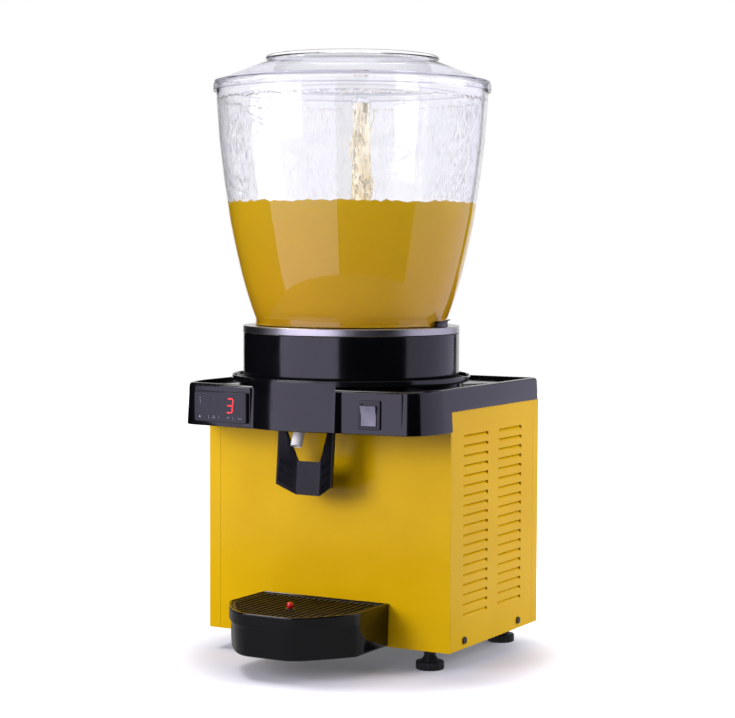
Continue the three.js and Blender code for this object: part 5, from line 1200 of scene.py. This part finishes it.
# %% [markdown]
# The machine stands in a white studio. Two tall softboxes at its sides give the upright light
# bands on the black column, and dark space behind the camera keeps its middle black. Soft lights
# from the left and the right fill the yellow panels without showing in the gloss.

# %% Studio lights
def soft_light(name, place, aim, wide, high, watts, in_gloss=True, colour="#FFFFFF"):
    """A rectangular softbox that faces the machine's middle line at the height aim, in metres."""
    data = bpy.data.lights.new(name, "AREA")
    data.shape = "RECTANGLE"
    data.size, data.size_y, data.energy = wide, high, watts
    data.color = linear(colour)[:3]
    made = put(name, data)
    made.location = place
    made.rotation_euler = (Vector((0, 0, aim)) - Vector(place)).to_track_quat("-Z", "Y").to_euler()
    made.visible_glossy = in_gloss
    made.visible_camera = False


VIEW_TURN = 29.27  # the camera's own angle, in degrees to the right of the front


def around(angle, distance, height):
    """A place on a circle round the machine, at an angle to the right of the camera."""
    a = math.radians(VIEW_TURN + angle)
    return (distance * math.sin(a), -distance * math.cos(a), height)


VIOLET = "#E6E0FF"  # the softboxes are a little cooler than the paper
soft_light("softbox_left", around(-44.4, 1.1, 0.45), 0.45, 1.38, 1.8, 16, colour=VIOLET)
soft_light("softbox_right", around(97, 1.1, 0.45), 0.45, 1.78, 1.8, 10, colour=VIOLET)
soft_light("fill_right", around(90, 2.6, 1.3), 0.3, 1.6, 1.2, 46, in_gloss=False)
soft_light("fill_left", around(-52, 1.75, 0.7), 0.3, 0.7, 0.7, 15, in_gloss=False)
soft_light("light_above", (0, 0.2, 2.6), 0, 3.0, 3.0, 26)
soft_light("light_edge", (-1.1, -0.2, 2.3), 0.2, 0.9, 0.9, 28)


print("lights:", len(bpy.data.lights))

# %% [markdown]
# The camera sees a white floor whose glow is turned down under the machine, a painted shadow that makes it a
# little darker there. What the machine mirrors or is lit by is a smaller card in the floor's place, which is
# dim in front and bright behind. A lit sheet stands behind the machine. The world is white where the camera
# looks past all of it, straight or through the clear bowl, and adds no light.

# %% Floor, card and backdrop
def stage_sheet(name, points, faces, finish, seen, mirrored_in_gloss):
    """A sheet of the studio, which is no part of the machine: seen itself, or only mirrored."""
    mesh = bpy.data.meshes.new(name)
    mesh.from_pydata(points, [], faces)
    mesh.materials.append(finish)
    made = put(name, mesh)
    made.visible_camera = made.visible_transmission = seen
    made.visible_glossy = made.visible_diffuse = mirrored_in_gloss
    made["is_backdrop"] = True


WHITE, BLACK = (1, 1, 1, 1), (0, 0, 0, 1)
white_paper = new_finish(
    "white_paper_floor", Base_Color=linear("#D2D1D6"), Roughness=0.9, Emission_Color=WHITE
)
place = add(white_paper, "TexCoord").outputs["Object"]
# Painted shadow: the floor's glow falls from full white far off to dim under the machine.
reach = add(white_paper, "VectorMath", {0: place, 1: (0.02, 0.0, 0)}, operation="DISTANCE").outputs["Value"]
sizes = {"Value": reach, "From Min": 0.16, "From Max": 0.31, "To Min": 0.08, "To Max": 1.0}
glow = add(white_paper, "MapRange", sizes, interpolation_type="SMOOTHSTEP")
feed(white_paper, "Emission Strength", glow.outputs["Result"])
corners = [(-30, -30, 0), (30, -30, 0), (30, 30, 0), (-30, 30, 0)]
stage_sheet("studio_floor", corners, [(0, 1, 2, 3)], white_paper, True, False)

floor_card = new_finish("dim_floor_card", Base_Color=BLACK, Roughness=1.0, Emission_Color=WHITE)
place = add(floor_card, "TexCoord").outputs["Object"]
across = add(floor_card, "VectorMath", {0: place, 1: (0.5, 0.87, 0)}, operation="DOT_PRODUCT")
across = across.outputs["Value"]
sizes = {"Value": across, "From Min": 0.0, "From Max": 0.75, "To Min": 0.22, "To Max": 1.0}
glow = add(floor_card, "MapRange", sizes, interpolation_type="SMOOTHSTEP")
feed(floor_card, "Emission Strength", glow.outputs["Result"])
card = [(x, y, -0.002) for x, y in round_outline(0.95, arc(16, 32))]
stage_sheet("studio_floor_card", card, [tuple(range(32))], floor_card, False, True)

backdrop_light = new_finish(
    "lit_backdrop", Base_Color=BLACK, Roughness=1.0, Emission_Color=WHITE, Emission_Strength=1.0
)
far = [around(180 + a, 4.2, 0) for a in range(-32, 21, 4)]
points = [(x, y, -0.1) for x, y, _ in far] + [(x, y, 3.0) for x, y, _ in far]
count = len(far)
sheets = [(i, i + 1, count + i + 1, count + i) for i in range(count - 1)]
stage_sheet("studio_backdrop", points, sheets, backdrop_light, True, True)

world = bpy.data.worlds.new("studio")
bpy.context.scene.world = world
world.use_nodes = True
background = world.node_tree.nodes["Background"]
background.inputs["Color"].default_value = WHITE
background.inputs["Strength"].default_value = 1.0
world.cycles_visibility.glossy = world.cycles_visibility.diffuse = False
bpy.context.scene.view_settings.view_transform = "Standard"
print("world:", world.name)

# %% [markdown]
# The last cell prints the finished model's box.

low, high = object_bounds()
print("visual", [round(v, 4) for v in (*low, *high)])
